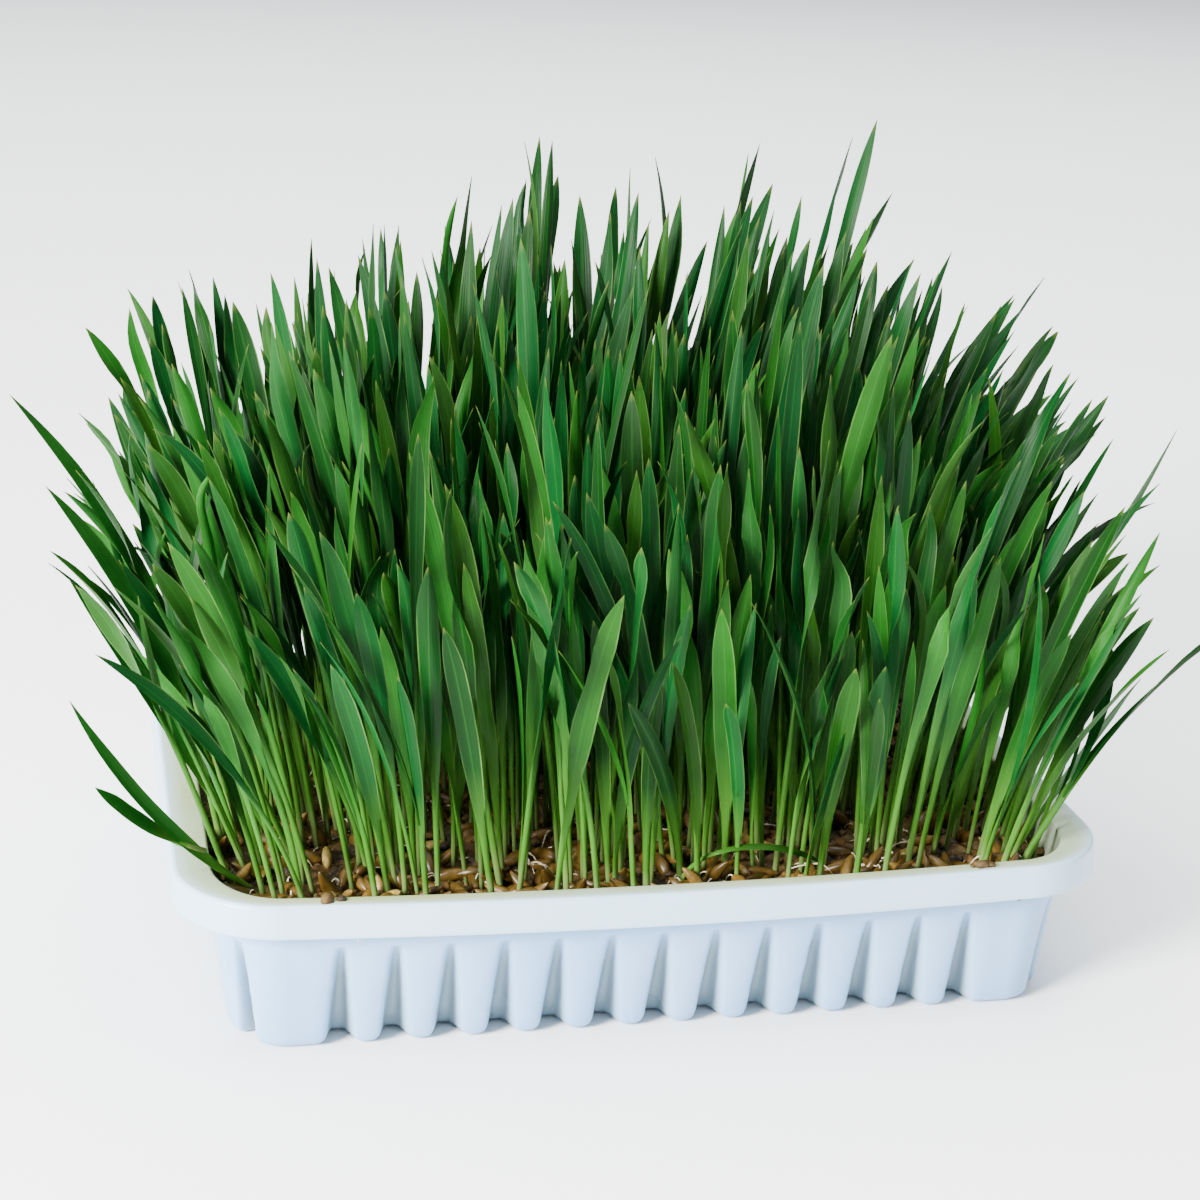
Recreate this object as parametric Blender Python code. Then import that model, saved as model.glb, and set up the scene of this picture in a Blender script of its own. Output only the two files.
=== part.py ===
"""Wheatgrass tray: a fluted plastic tray of moist soil, sown with wheat that has grown up as dense grass.

The origin is the centre of the tray's underside. +X runs along the tray, -Y is its front and +Z is up.
All sizes are in metres.
"""

import math
import random

import bmesh
import bpy
from mathutils import Matrix, Vector
from mathutils.bvhtree import BVHTree
from mathutils.geometry import delaunay_2d_cdt

# Tray rim
RIM_LENGTH = 0.200
RIM_WIDTH = 0.145
RIM_CORNER = 0.0228
RIM_BOW = 0.0032
RIM_TOP = 0.035
SKIRT_HEIGHT = 0.007
SKIRT_SLOPE = 0.0005
RIM_ROUND = 0.0008
WALL = 0.0009

# Tray wall: each inset is measured from the rim's outline
WALL_INSET_TOP = 0.0043
WALL_INSET_GROOVES = 0.0049
WALL_INSET_FOOT = 0.0066
WALL_BOW_TOP = 0.0028
WALL_BOW_GROOVES = 0.0022

# How much further in the short sides' wall stands: under the rim, at the grooves' tops and at the foot
WALL_END_TOP = 0.0032
WALL_END_GROOVES = 0.0036
WALL_END_FOOT = 0.0045

# Grooves of the fluted wall
GROOVE_PITCH = 0.0111
GROOVES_LONG = 13
GROOVES_SHORT = 9
GROOVE_TOP = 0.0226
GROOVE_TOP_INSIDE = 0.0250
GROOVE_MOUTH = 0.0059
GROOVE_MOUTH_TOP = 0.0030
GROOVE_FLOOR = 0.0036
GROOVE_DEPTH = 0.0060
FOOT_HEIGHT = 0.0022
FOOT_ROUND = 0.0016
FOOT_ROUND_INSIDE = 0.0009

# Steps round the rim
CORNER_STEPS = 5
BOW_STEPS = 8
SIDE_STEPS = 2

# Soil
SOIL_TOP = 0.0277
SOIL_LUMP = 0.0011
SOIL_FLOOR_GAP = 0.0003
SOIL_WALL_GAP = 0.0004
SOIL_BREAK = 0.0252
SOIL_EDGE = 0.0005

# Bunches of shoots, each rooted in a clod that stands in its own hole in the soil
BUNCHES_ALONG = 8
BUNCHES_ACROSS = 4
BUNCH_PITCH = Vector((0.0219, 0.0312))
CLOD_HALF = Vector((0.0101, 0.0145))
CLOD_CORNER = 0.40
CLOD_DEPTH = 0.0077
HOLE_GAP = 0.0003

# Grass
SHOOTS_PER_BUNCH = 13
SHOOT_SPACING = 0.0033
SHOOT_EDGE = 0.0022
ROOT_DEPTH = 0.0030
STEM_WIDTH = 0.0020
STEM_THICKNESS = 0.0014
BLADE_THICKNESS = 0.0009
BLADE_WIDTHS = (0.0036, 0.0060)
HEIGHT_FRONT = 0.084
HEIGHT_MIDDLE = 0.118
HEIGHT_BACK = 0.136
FRONT_FALL = 1.4
END_DROP = 0.25
HEIGHT_SPREAD = 0.13
FRONT_SPREAD = 0.15
SHORTER = 1.5
TALLER = 0.4
LEAN_ALONG = 0.047
LEAN_ACROSS = 0.023
LEAN_SKEW = 0.014
LEAN_CHANCE = (0.0085, 0.0075)
SAG = (0.02, 0.10)
SAG_LEAN = 0.03
SAG_MOST = 0.12
KNEE_HEIGHT = 0.36
KNEE_LEAN = (0.18, 0.30)
NECK_HEIGHT = 0.73
NECK_LEAN = (0.52, 0.66)
FACE_TURN = 0.9
CALMER_TRIES = 5
FIELD_HALF = Vector((0.0895, 0.064))
EDGE_OF_FIELD = Vector((0.78, 0.62))
CLEARANCE = 0.00045
DRAWS = 30

# A few shoots in the tray's middle outgrow the rest
TALL_SHARE = 0.10
TALL_GROWTH = 1.13
TALL_FIELD = 0.62

# Kernels
KERNEL_LENGTH = 0.0084
KERNEL_WIDTH = 0.0033
KERNELS_PER_BUNCH = 2
KERNEL_SIDES = 4

# Points closer than this are one point, and a face is level if its normal rises more than this
SLIVER = 0.00005
LEVEL = 0.9999

# Filling a loop: triangles inside it only, and points closer than this are the same
INSIDE_TRIANGLES = 1
SAME_SPOT = 1e-7

# The bunches in which the usual union covers a stem's foot with a wrong face
NEED_MANIFOLD = ("shoots_05", "shoots_07", "shoots_22")

SEED = 17

SIDE_X = RIM_LENGTH - 2 * RIM_CORNER
SIDE_Y = RIM_WIDTH - 2 * RIM_CORNER
ARC = RIM_CORNER * math.pi / 2
LAP = 2 * (SIDE_X + SIDE_Y + 2 * ARC)


def clear_scene():
    """Remove every object that the file starts with."""
    for item in list(bpy.data.objects):
        bpy.data.objects.remove(item, do_unlink=True)


def principled(name, colour, roughness):
    """A plain material with the part's own colour."""
    material = bpy.data.materials.new(name)
    material.use_nodes = True
    shader = material.node_tree.nodes["Principled BSDF"]
    shader.inputs["Base Color"].default_value = (*colour, 1.0)
    shader.inputs["Roughness"].default_value = roughness
    shader.inputs["Metallic"].default_value = 0.0
    return material


def object_from(mesh, name, material=None):
    """Turn a bmesh into an object whose faces point out."""
    bmesh.ops.recalc_face_normals(mesh, faces=mesh.faces)
    data = bpy.data.meshes.new(name)
    mesh.to_mesh(data)
    mesh.free()
    if material:
        data.materials.append(material)
    item = bpy.data.objects.new(name, data)
    bpy.context.scene.collection.objects.link(item)
    return item


# Outlines of the tray: a distance u round the rim's outline names a place on every loop


def round_point(u, inset, bow):
    """The point at u on the rim's outline moved in by inset, with the long sides bowed out by bow."""
    for side in range(4):
        length, other = (SIDE_X, SIDE_Y) if side % 2 == 0 else (SIDE_Y, SIDE_X)
        turn = Matrix.Rotation(side * math.pi / 2, 2)
        if u <= length:
            along = u - length / 2
            belly = bow * (1 - (2 * along / length) ** 2) if side % 2 == 0 else 0.0
            return turn @ Vector((along, inset - other / 2 - RIM_CORNER - belly))
        u -= length
        if u <= ARC:
            angle = u / RIM_CORNER
            centre = Vector((length / 2, -other / 2))
            return turn @ (centre + (RIM_CORNER - inset) * Vector((math.sin(angle), -math.cos(angle))))
        u -= ARC
    return round_point(0.0, inset, bow)


def outline_point(u, inset, bow, ends):
    """The same point with both short sides drawn in by ends, and the corners with them."""
    point = round_point(u, inset, bow)
    past = abs(point.x) - SIDE_X / 2
    if past > 0:
        point.x -= math.copysign(past * ends / (RIM_CORNER - inset), point.x)
    return point


def side_starts():
    """Where each straight side begins, its length and its number of grooves."""
    start = 0.0
    for side in range(4):
        length = SIDE_X if side % 2 == 0 else SIDE_Y
        yield start, length, GROOVES_LONG if side % 2 == 0 else GROOVES_SHORT
        start += length + ARC


def corner_places(start, length, groove=()):
    """The places on the corner that follows a straight side, with its ends and those of a groove."""
    places = [start + length + ARC * step / CORNER_STEPS for step in range(CORNER_STEPS + 1)]
    if groove:
        places = [place for place in places if place < min(groove) or place > max(groove)]
    return sorted(places + list(groove))


def corner_offset(width, inset):
    """Half a width on the corner at an inset, as a distance on the rim's outline."""
    return width / 2 * RIM_CORNER / (RIM_CORNER - inset)


def plain_loop(inset, bow, ends=0.0):
    """A smooth loop round the tray, as pairs of place and point."""
    places = []
    for start, length, _ in side_starts():
        steps = BOW_STEPS if length == SIDE_X else SIDE_STEPS
        places += [start + length * step / steps for step in range(1, steps)]
        places += corner_places(start, length)
    return [(u, outline_point(u, inset, bow, ends)) for u in places]


def groove_centres(start, length, grooves):
    """The places of the grooves' centres on a straight side."""
    return [start + length / 2 + (index - (grooves - 1) / 2) * GROOVE_PITCH for index in range(grooves)]


def groove_top_loop(inset, bow, ends, mouth):
    """The loop on which every groove starts, as wide as its mouth is there."""
    places = []
    for start, length, grooves in side_starts():
        for centre in groove_centres(start, length, grooves):
            places += [centre - mouth / 2, centre + mouth / 2]
        centre = start + length + ARC / 2
        half = corner_offset(mouth, inset)
        places += corner_places(start, length, (centre - half, centre + half))
    return [(u, outline_point(u, inset, bow, ends)) for u in places]


def fluted_loop(inset, ends, depth):
    """The loop that dips into every groove, also into the one in the middle of each corner."""
    loop = []
    profile = ((-GROOVE_MOUTH, 0), (-GROOVE_FLOOR, depth), (GROOVE_FLOOR, depth), (GROOVE_MOUTH, 0))
    for start, length, grooves in side_starts():
        for centre in groove_centres(start, length, grooves):
            for width, dip in profile:
                place = centre + width / 2
                loop.append((place, outline_point(place, inset + dip, 0.0, ends)))
        centre = start + length + ARC / 2
        dips = {centre + corner_offset(width, inset + dip): dip for width, dip in profile}
        for place in corner_places(start, length, tuple(dips)):
            loop.append((place, outline_point(place, inset + dips.get(place, 0.0), 0.0, ends)))
    return loop


def pulled_in(loop, distance):
    """The loop with each of its edges moved in by the same distance."""
    moved = []
    for index, (place, point) in enumerate(loop):
        before = (point - loop[index - 1][1]).normalized()
        after = (loop[(index + 1) % len(loop)][1] - point).normalized()
        normal_before = Vector((-before.y, before.x))
        normal_after = Vector((-after.y, after.x))
        middle = (normal_before + normal_after).normalized()
        moved.append((place, point + middle * distance / middle.dot(normal_before)))
    return moved


def raised(mesh, loop, height):
    """Vertices for a loop of points, all at one height."""
    return [(place, mesh.verts.new((point.x, point.y, height))) for place, point in loop]


def bridge(mesh, first, second, lap=LAP):
    """Join two closed loops with triangles, always by the diagonal that turns least."""
    first = first + [(first[0][0] + lap, first[0][1])]
    second = second + [(second[0][0] + lap, second[0][1])]
    i = j = 0
    while i < len(first) - 1 or j < len(second) - 1:
        if j == len(second) - 1:
            forward = True
        elif i == len(first) - 1:
            forward = False
        else:
            forward = abs(first[i + 1][0] - second[j][0]) <= abs(second[j + 1][0] - first[i][0])
        if forward:
            mesh.faces.new((first[i][1], first[i + 1][1], second[j][1]))
            i += 1
        else:
            mesh.faces.new((first[i][1], second[j + 1][1], second[j][1]))
            j += 1


def fill_level(mesh, vertices):
    """Close a level ring of vertices with triangles that face up, also where it dips into grooves."""
    spots = [vertex.co.xy for vertex in vertices]
    ring = [(index, (index + 1) % len(spots)) for index in range(len(spots))]
    result = delaunay_2d_cdt(spots, ring, [], INSIDE_TRIANGLES, SAME_SPOT)
    faces, origins = result[2], result[3]
    for face in faces:
        mesh.faces.new([vertices[origins[corner][0]] for corner in face])


def cap(mesh, loop):
    """Close a level loop with triangles."""
    fill_level(mesh, [vertex for _, vertex in loop])


def make_tray(material):
    """The thin shell: flat floor, fluted wall, and a rim that turns down into a skirt."""
    mesh = bmesh.new()
    foot = fluted_loop(WALL_INSET_FOOT, WALL_END_FOOT, GROOVE_DEPTH)
    grooves = (WALL_BOW_GROOVES, WALL_END_GROOVES)
    under_rim = RIM_TOP - WALL
    skirt_bottom = RIM_TOP - SKIRT_HEIGHT
    inside = WALL_INSET_GROOVES + WALL
    loops = [
        raised(mesh, pulled_in(foot, FOOT_ROUND), 0.0),
        raised(mesh, foot, FOOT_HEIGHT),
        raised(mesh, groove_top_loop(WALL_INSET_GROOVES, *grooves, GROOVE_MOUTH_TOP), GROOVE_TOP),
        raised(mesh, plain_loop(WALL_INSET_TOP, WALL_BOW_TOP, WALL_END_TOP), under_rim),
        raised(mesh, plain_loop(SKIRT_SLOPE + WALL, RIM_BOW), under_rim),
        raised(mesh, plain_loop(WALL, RIM_BOW), skirt_bottom),
        raised(mesh, plain_loop(0.0, RIM_BOW), skirt_bottom),
        raised(mesh, plain_loop(SKIRT_SLOPE, RIM_BOW), RIM_TOP - RIM_ROUND),
        raised(mesh, plain_loop(SKIRT_SLOPE + RIM_ROUND, RIM_BOW), RIM_TOP),
        raised(mesh, plain_loop(WALL_INSET_TOP, WALL_BOW_TOP, WALL_END_TOP), RIM_TOP),
        raised(mesh, plain_loop(WALL_INSET_TOP + WALL, WALL_BOW_TOP, WALL_END_TOP), RIM_TOP - RIM_ROUND),
        raised(mesh, groove_top_loop(inside, *grooves, GROOVE_MOUTH_TOP + 2 * WALL), GROOVE_TOP_INSIDE),
        raised(mesh, pulled_in(foot, WALL), FOOT_HEIGHT),
        raised(mesh, pulled_in(foot, WALL + FOOT_ROUND_INSIDE), WALL),
    ]
    for lower, upper in zip(loops, loops[1:]):
        bridge(mesh, lower, upper)
    cap(mesh, loops[0])
    cap(mesh, loops[-1])
    return object_from(mesh, "tray", material)


# Soil and the clods that stand in it


def bunch_centres():
    """The centre of each bunch, row by row from the front left."""
    for row in range(BUNCHES_ACROSS):
        for column in range(BUNCHES_ALONG):
            yield Vector((
                (column - (BUNCHES_ALONG - 1) / 2) * BUNCH_PITCH.x,
                (row - (BUNCHES_ACROSS - 1) / 2) * BUNCH_PITCH.y,
            ))


def clod_outline(centre, grow=0.0):
    """The eight corners of a clod, anticlockwise from the one at the right and front."""
    half = CLOD_HALF + Vector((grow, grow))
    corners = []
    for side in range(4):
        turn = Matrix.Rotation(side * math.pi / 2, 2)
        reach, width = (half.x, half.y) if side % 2 == 0 else (half.y, half.x)
        for way in (-1, 1):
            corners.append(centre + turn @ Vector((reach, way * width * CLOD_CORNER)))
    return corners


def in_clod(point, centre, margin):
    """Whether a point is inside a clod's outline by at least the margin."""
    corners = clod_outline(centre)
    for index, corner in enumerate(corners):
        edge = (corners[(index + 1) % len(corners)] - corner).normalized()
        if edge.cross(point - corner) < margin:
            return False
    return True


def inside_rounded_corner(point, inset, ends):
    """The point, drawn in where it would pass the tray's rounded corner."""
    corner = Vector((math.copysign(SIDE_X / 2, point.x), math.copysign(SIDE_Y / 2, point.y)))
    squeeze = 1 - ends / (RIM_CORNER - inset)
    away = point - corner
    away.x /= squeeze
    if away.x * corner.x > 0 and away.y * corner.y > 0 and away.length > RIM_CORNER - inset:
        away *= (RIM_CORNER - inset) / away.length
        return corner + Vector((away.x * squeeze, away.y))
    return point


def wall_inside(height):
    """How far in from the rim's outline the soil's side is above the grooves, its bow and its ends' inset."""
    part = (height - GROOVE_TOP) / (RIM_TOP - GROOVE_TOP)
    inset = WALL_INSET_GROOVES + part * (WALL_INSET_TOP - WALL_INSET_GROOVES)
    bow = WALL_BOW_GROOVES + part * (WALL_BOW_TOP - WALL_BOW_GROOVES)
    ends = WALL_END_GROOVES + part * (WALL_END_TOP - WALL_END_GROOVES)
    return inset + WALL + SOIL_WALL_GAP, bow, ends


def make_soil(material, draw):
    """The bed: its side follows the wall, and its lumpy top has one plain hole for each clod."""
    mesh = bmesh.new()
    foot_inset = WALL_INSET_FOOT + GROOVE_DEPTH + WALL + FOOT_ROUND_INSIDE + SOIL_WALL_GAP
    edge_inset, edge_bow, edge_ends = wall_inside(SOIL_TOP)
    base = raised(mesh, plain_loop(foot_inset, 0.0, WALL_END_FOOT), WALL + SOIL_FLOOR_GAP)
    middle = raised(mesh, plain_loop(*wall_inside(SOIL_BREAK)), SOIL_BREAK)
    edge = raised(mesh, plain_loop(edge_inset, edge_bow, edge_ends), SOIL_TOP)
    bridge(mesh, base, middle)
    bridge(mesh, middle, edge)
    cap(mesh, base)

    # A lumpy lattice of two points for each bunch each way, with the bunches' centres left out
    points = {}
    for row in range(2 * BUNCHES_ACROSS + 1):
        for column in range(2 * BUNCHES_ALONG + 1):
            if row % 2 and column % 2:
                continue
            steps = Vector((column - BUNCHES_ALONG, row - BUNCHES_ACROSS))
            spot = inside_rounded_corner(steps * BUNCH_PITCH / 2, edge_inset + SOIL_EDGE, edge_ends)
            height = SOIL_TOP + draw.uniform(-SOIL_LUMP, SOIL_LUMP)
            points[column, row] = mesh.verts.new((spot.x, spot.y, height))

    for index, centre in enumerate(bunch_centres()):
        row, column = divmod(index, BUNCHES_ALONG)
        ring = [(2, 1), (2, 2), (1, 2), (0, 2), (0, 1), (0, 0), (1, 0), (2, 0)]
        cell = [points[2 * column + across, 2 * row + up] for across, up in ring]
        rim = []
        floor = []
        for corner in clod_outline(centre, HOLE_GAP):
            rim.append(mesh.verts.new((corner.x, corner.y, SOIL_TOP + draw.uniform(-SOIL_LUMP, SOIL_LUMP) / 2)))
            floor.append(mesh.verts.new((corner.x, corner.y, SOIL_TOP - CLOD_DEPTH - HOLE_GAP)))
        around = [(corner_index + 0.5, vertex) for corner_index, vertex in enumerate(cell)]
        mouth = [(corner_index, vertex) for corner_index, vertex in enumerate(rim)]
        bottom = [(corner_index, vertex) for corner_index, vertex in enumerate(floor)]
        lap = len(rim)
        bridge(mesh, around, mouth, lap)
        bridge(mesh, mouth, bottom, lap)
        cap(mesh, bottom)

    last_row, last_column = 2 * BUNCHES_ACROSS, 2 * BUNCHES_ALONG
    ring = [(column, 0) for column in range(last_column)]
    ring += [(last_column, row) for row in range(last_row)]
    ring += [(column, last_row) for column in range(last_column, 0, -1)]
    ring += [(0, row) for row in range(last_row, 0, -1)]
    bridge(mesh, by_angle([points[spot] for spot in ring]), by_angle([vertex for _, vertex in edge]), math.tau)
    return object_from(mesh, "soil", material)


def by_angle(vertices):
    """Pairs of angle round the tray and vertex, in order of the angle."""
    pairs = [(math.atan2(vertex.co.y / RIM_WIDTH, vertex.co.x / RIM_LENGTH), vertex) for vertex in vertices]
    return sorted(pairs, key=lambda pair: pair[0])


def make_clod(centre, material):
    """A clod of soil held by roots, flat on top where the shoots leave it."""
    mesh = bmesh.new()
    outline = list(enumerate(clod_outline(centre)))
    bottom = raised(mesh, outline, SOIL_TOP - CLOD_DEPTH)
    top = raised(mesh, outline, SOIL_TOP)
    bridge(mesh, bottom, top, len(outline))
    mesh.faces.new([vertex for _, vertex in bottom])
    mesh.faces.new([vertex for _, vertex in top])
    return object_from(mesh, "clod", material)


# Shoots


def bezier(points, t):
    """A point on the cubic curve through the first and last of four points."""
    s = 1 - t
    return points[0] * s**3 + points[1] * 3 * s * s * t + points[2] * 3 * s * t * t + points[3] * t**3


def bezier_slope(points, t):
    """The direction of that curve."""
    s = 1 - t
    first, second, third = points[1] - points[0], points[2] - points[1], points[3] - points[2]
    return (first * s * s + second * 2 * s * t + third * t * t).normalized()


def blade_plan(shoot):
    """Where a blade's sections are along it, with their widths and thicknesses: the stem's end and the leaf."""
    wide = shoot["width"]
    plan = [(0.30, STEM_WIDTH, STEM_THICKNESS)]
    if shoot["fine"]:
        return plan + [(0.60, wide, BLADE_THICKNESS), (0.84, wide * 0.70, BLADE_THICKNESS * 0.8)]
    return plan + [(0.68, wide, BLADE_THICKNESS)]


def blade_sections(shoot, swell=0.0):
    """A blade's three-sided sections: two margins and a keel. The stem keeps one section from the root up."""
    plan = blade_plan(shoot)
    sections = []
    for t, width, thickness in plan:
        centre = bezier(shoot["points"], t)
        along = bezier_slope(shoot["points"], t)
        turn = shoot["face"] + shoot["twist"] * t
        across = Vector((math.cos(turn), math.sin(turn), 0.0))
        across = (across - along * across.dot(along)).normalized()
        back = along.cross(across)
        half = across * (width / 2 + swell)
        rise = back * (thickness / 3 + swell)
        sections.append([centre - half - rise, centre + half - rise, centre + back * (thickness * 2 / 3 + swell)])
    middle = (sections[0][0] + sections[0][1] + sections[0][2]) / 3
    root = shoot["points"][0].copy()
    if shoot["rooted"]:
        stem = middle - root
        root -= stem * (ROOT_DEPTH / 2 / stem.z)
        root.z = SOIL_TOP - ROOT_DEPTH
    sections.insert(0, [root + point - middle for point in sections[0]])
    return sections


def make_blade(shoot, swell=0.0):
    """A blade's points and faces: a flat-sided stem, then a leaf whose faces are split alike, to a pointed tip."""
    sections = blade_sections(shoot, swell)
    points = [point for section in sections for point in section]
    points.append(bezier(shoot["points"], 1.0))
    faces = [(0, 2, 1), (0, 1, 4, 3), (1, 2, 5, 4), (2, 0, 3, 5)]
    for ring in range(1, len(sections) - 1):
        left, right, keel = 3 * ring, 3 * ring + 1, 3 * ring + 2
        faces += [(left, right, right + 3), (left, right + 3, left + 3)]
        faces += [(right, keel, right + 3), (keel, keel + 3, right + 3)]
        faces += [(keel, left, keel + 3), (left, left + 3, keel + 3)]
    last = 3 * (len(sections) - 1)
    faces += [(last + side, last + (side + 1) % 3, len(points) - 1) for side in range(3)]
    return points, faces


def make_kernel(kernel, swell=0.0):
    """A kernel's points and faces: a plump spindle with pointed ends."""
    centre, axis = kernel["centre"], kernel["axis"]
    across = axis.orthogonal().normalized()
    around = axis.cross(across)
    points = [centre - axis * (KERNEL_LENGTH / 2 + swell)]
    for place, fatness in ((-0.22, 1.0), (0.22, 0.86)):
        radius = KERNEL_WIDTH / 2 * fatness + swell
        for side in range(KERNEL_SIDES):
            angle = math.tau * side / KERNEL_SIDES
            ray = across * math.cos(angle) + around * math.sin(angle)
            points.append(centre + axis * (KERNEL_LENGTH * place) + ray * radius)
    points.append(centre + axis * (KERNEL_LENGTH / 2 + swell))
    faces = []
    for side in range(KERNEL_SIDES):
        a, b = 1 + side, 1 + (side + 1) % KERNEL_SIDES
        c, d = a + KERNEL_SIDES, b + KERNEL_SIDES
        faces += [(0, b, a), (a, b, d, c), (c, d, len(points) - 1)]
    return points, faces


class Clearance:
    """Keeps the pieces placed so far, and says whether a new one would touch them."""

    def __init__(self):
        self.placed = []

    def add(self, points, faces):
        low = Vector(min(point[axis] for point in points) for axis in range(3))
        high = Vector(max(point[axis] for point in points) for axis in range(3))
        self.placed.append((low, high, BVHTree.FromPolygons(points, faces)))

    def touches(self, points, faces):
        low = Vector(min(point[axis] for point in points) for axis in range(3))
        high = Vector(max(point[axis] for point in points) for axis in range(3))
        tree = BVHTree.FromPolygons(points, faces)
        for other_low, other_high, other in self.placed:
            if any(low[axis] > other_high[axis] or high[axis] < other_low[axis] for axis in range(3)):
                continue
            if tree.overlap(other):
                return True
        return False


def shoot(points, width, face, twist=0.0, rooted=True, fine=True):
    """One blade: four points of its curve, its width, the way that its face turns, and how it is built."""
    return {"points": [Vector(point) for point in points], "width": width, "face": face, "twist": twist,
            "rooted": rooted, "fine": fine}


def stray_shoots():
    """The shoots at the rim that bend out on their own, each with the number of its bunch."""
    top = SOIL_TOP
    return [
        (0, shoot([(-0.0830, -0.0470, top), (-0.0905, -0.0525, 0.0350), (-0.1070, -0.0580, 0.0500),
                   (-0.1190, -0.0600, 0.0760)], 0.0032, 0.6, 0.3)),
        (0, shoot([(-0.0953, -0.0532, 0.0405), (-0.1010, -0.0565, 0.0440), (-0.1090, -0.0595, 0.0500),
                   (-0.1145, -0.0600, 0.0574)], 0.0050, 1.1, 0.2, rooted=False)),
        (4, shoot([(0.0060, -0.0550, top), (0.0100, -0.0590, 0.0410), (0.0280, -0.0640, 0.0410),
                   (0.0371, -0.0565, 0.0310)], 0.0030, 1.2, 0.2)),
        (7, shoot([(0.0855, -0.0460, top), (0.0910, -0.0460, 0.0380), (0.1000, -0.0430, 0.0520),
                   (0.1135, -0.0400, 0.0646)], 0.0046, 0.4, 0.4)),
        (7, shoot([(0.0835, -0.0550, top), (0.0890, -0.0570, 0.0430), (0.1000, -0.0530, 0.0640),
                   (0.0930, -0.0460, 0.0700)], 0.0030, 1.0, 0.3)),
    ]


def grown_shoot(spot, draw, calm):
    """A blade of the field: it leans away from the tray's middle, by a smooth rule and a little chance.

    calm runs from 0, a free draw, to 1, the rule alone.
    """
    u, v = spot.x / FIELD_HALF.x, spot.y / FIELD_HALF.y
    wild = 1 - calm
    if v < 0:
        height = HEIGHT_MIDDLE + (HEIGHT_FRONT - HEIGHT_MIDDLE) * abs(v) ** FRONT_FALL
        spread = HEIGHT_SPREAD + FRONT_SPREAD * abs(v)
    else:
        height = HEIGHT_MIDDLE + (HEIGHT_BACK - HEIGHT_MIDDLE) * v
        spread = HEIGHT_SPREAD
    height *= 1 - END_DROP * abs(u) ** 3
    height *= 1 + spread * draw.uniform(-SHORTER, TALLER)
    if draw.random() < TALL_SHARE and abs(u) < TALL_FIELD:
        height *= TALL_GROWTH
    lean = Vector((LEAN_ALONG * u * abs(u) + LEAN_SKEW * v, LEAN_ACROSS * v * abs(v)))
    lean += Vector((draw.gauss(0, LEAN_CHANCE[0]), draw.gauss(0, LEAN_CHANCE[1]))) * wild
    lean *= height / HEIGHT_MIDDLE
    sag = draw.uniform(*SAG) * (lean.length / SAG_LEAN)
    knee = draw.uniform(*KNEE_LEAN)
    neck = draw.uniform(*NECK_LEAN)
    points = [
        (spot.x, spot.y, SOIL_TOP),
        (spot.x + lean.x * knee, spot.y + lean.y * knee, SOIL_TOP + height * KNEE_HEIGHT),
        (spot.x + lean.x * neck, spot.y + lean.y * neck, SOIL_TOP + height * NECK_HEIGHT),
        (spot.x + lean.x, spot.y + lean.y, SOIL_TOP + height * (1 - min(sag, SAG_MOST))),
    ]
    width = draw.uniform(*BLADE_WIDTHS)
    at_edge = abs(u) > EDGE_OF_FIELD.x or abs(v) > EDGE_OF_FIELD.y
    face = draw.uniform(-FACE_TURN, FACE_TURN)
    return shoot(points, width, face, draw.uniform(-1, 1) * wild, fine=at_edge)


def sow_bunch(centre, draw, room, shoots):
    """Draw the shoots of one bunch, each clear of all that stand already."""
    spots = [item["points"][0].xy for item in shoots if item["rooted"]]
    for _ in range(SHOOTS_PER_BUNCH * DRAWS):
        if len(spots) >= SHOOTS_PER_BUNCH:
            return
        offset = Vector((draw.uniform(-1, 1) * CLOD_HALF.x, draw.uniform(-1, 1) * CLOD_HALF.y))
        spot = centre + offset
        if not in_clod(spot, centre, SHOOT_EDGE):
            continue
        if any((spot - other).length < SHOOT_SPACING for other in spots):
            continue
        for attempt in range(CALMER_TRIES):
            candidate = grown_shoot(spot, draw, attempt / (CALMER_TRIES - 1))
            blade = make_blade(candidate, CLEARANCE / 2)
            if not room.touches(*blade):
                room.add(*blade)
                shoots.append(candidate)
                spots.append(spot)
                break


def lay_kernels(centre, draw, room):
    """Draw the kernels of one bunch, half sunk in its clod."""
    kernels = []
    for _ in range(DRAWS * KERNELS_PER_BUNCH):
        if len(kernels) == KERNELS_PER_BUNCH:
            break
        offset = Vector((draw.uniform(-1, 1) * CLOD_HALF.x, draw.uniform(-1, 1) * CLOD_HALF.y))
        heading, tilt = draw.uniform(0, math.tau), draw.uniform(0.0, 0.9)
        axis = Vector((math.cos(heading) * math.cos(tilt), math.sin(heading) * math.cos(tilt), math.sin(tilt)))
        place = Vector((*(centre + offset), SOIL_TOP + 0.0006 + 0.0012 * math.sin(tilt)))
        kernel = {"centre": place, "axis": axis}
        points, faces = make_kernel(kernel)
        if all(in_clod(point.xy, centre, CLEARANCE) for point in points):
            swollen = make_kernel(kernel, CLEARANCE / 2)
            if not room.touches(*swollen):
                room.add(*swollen)
                kernels.append(kernel)
    return kernels


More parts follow.
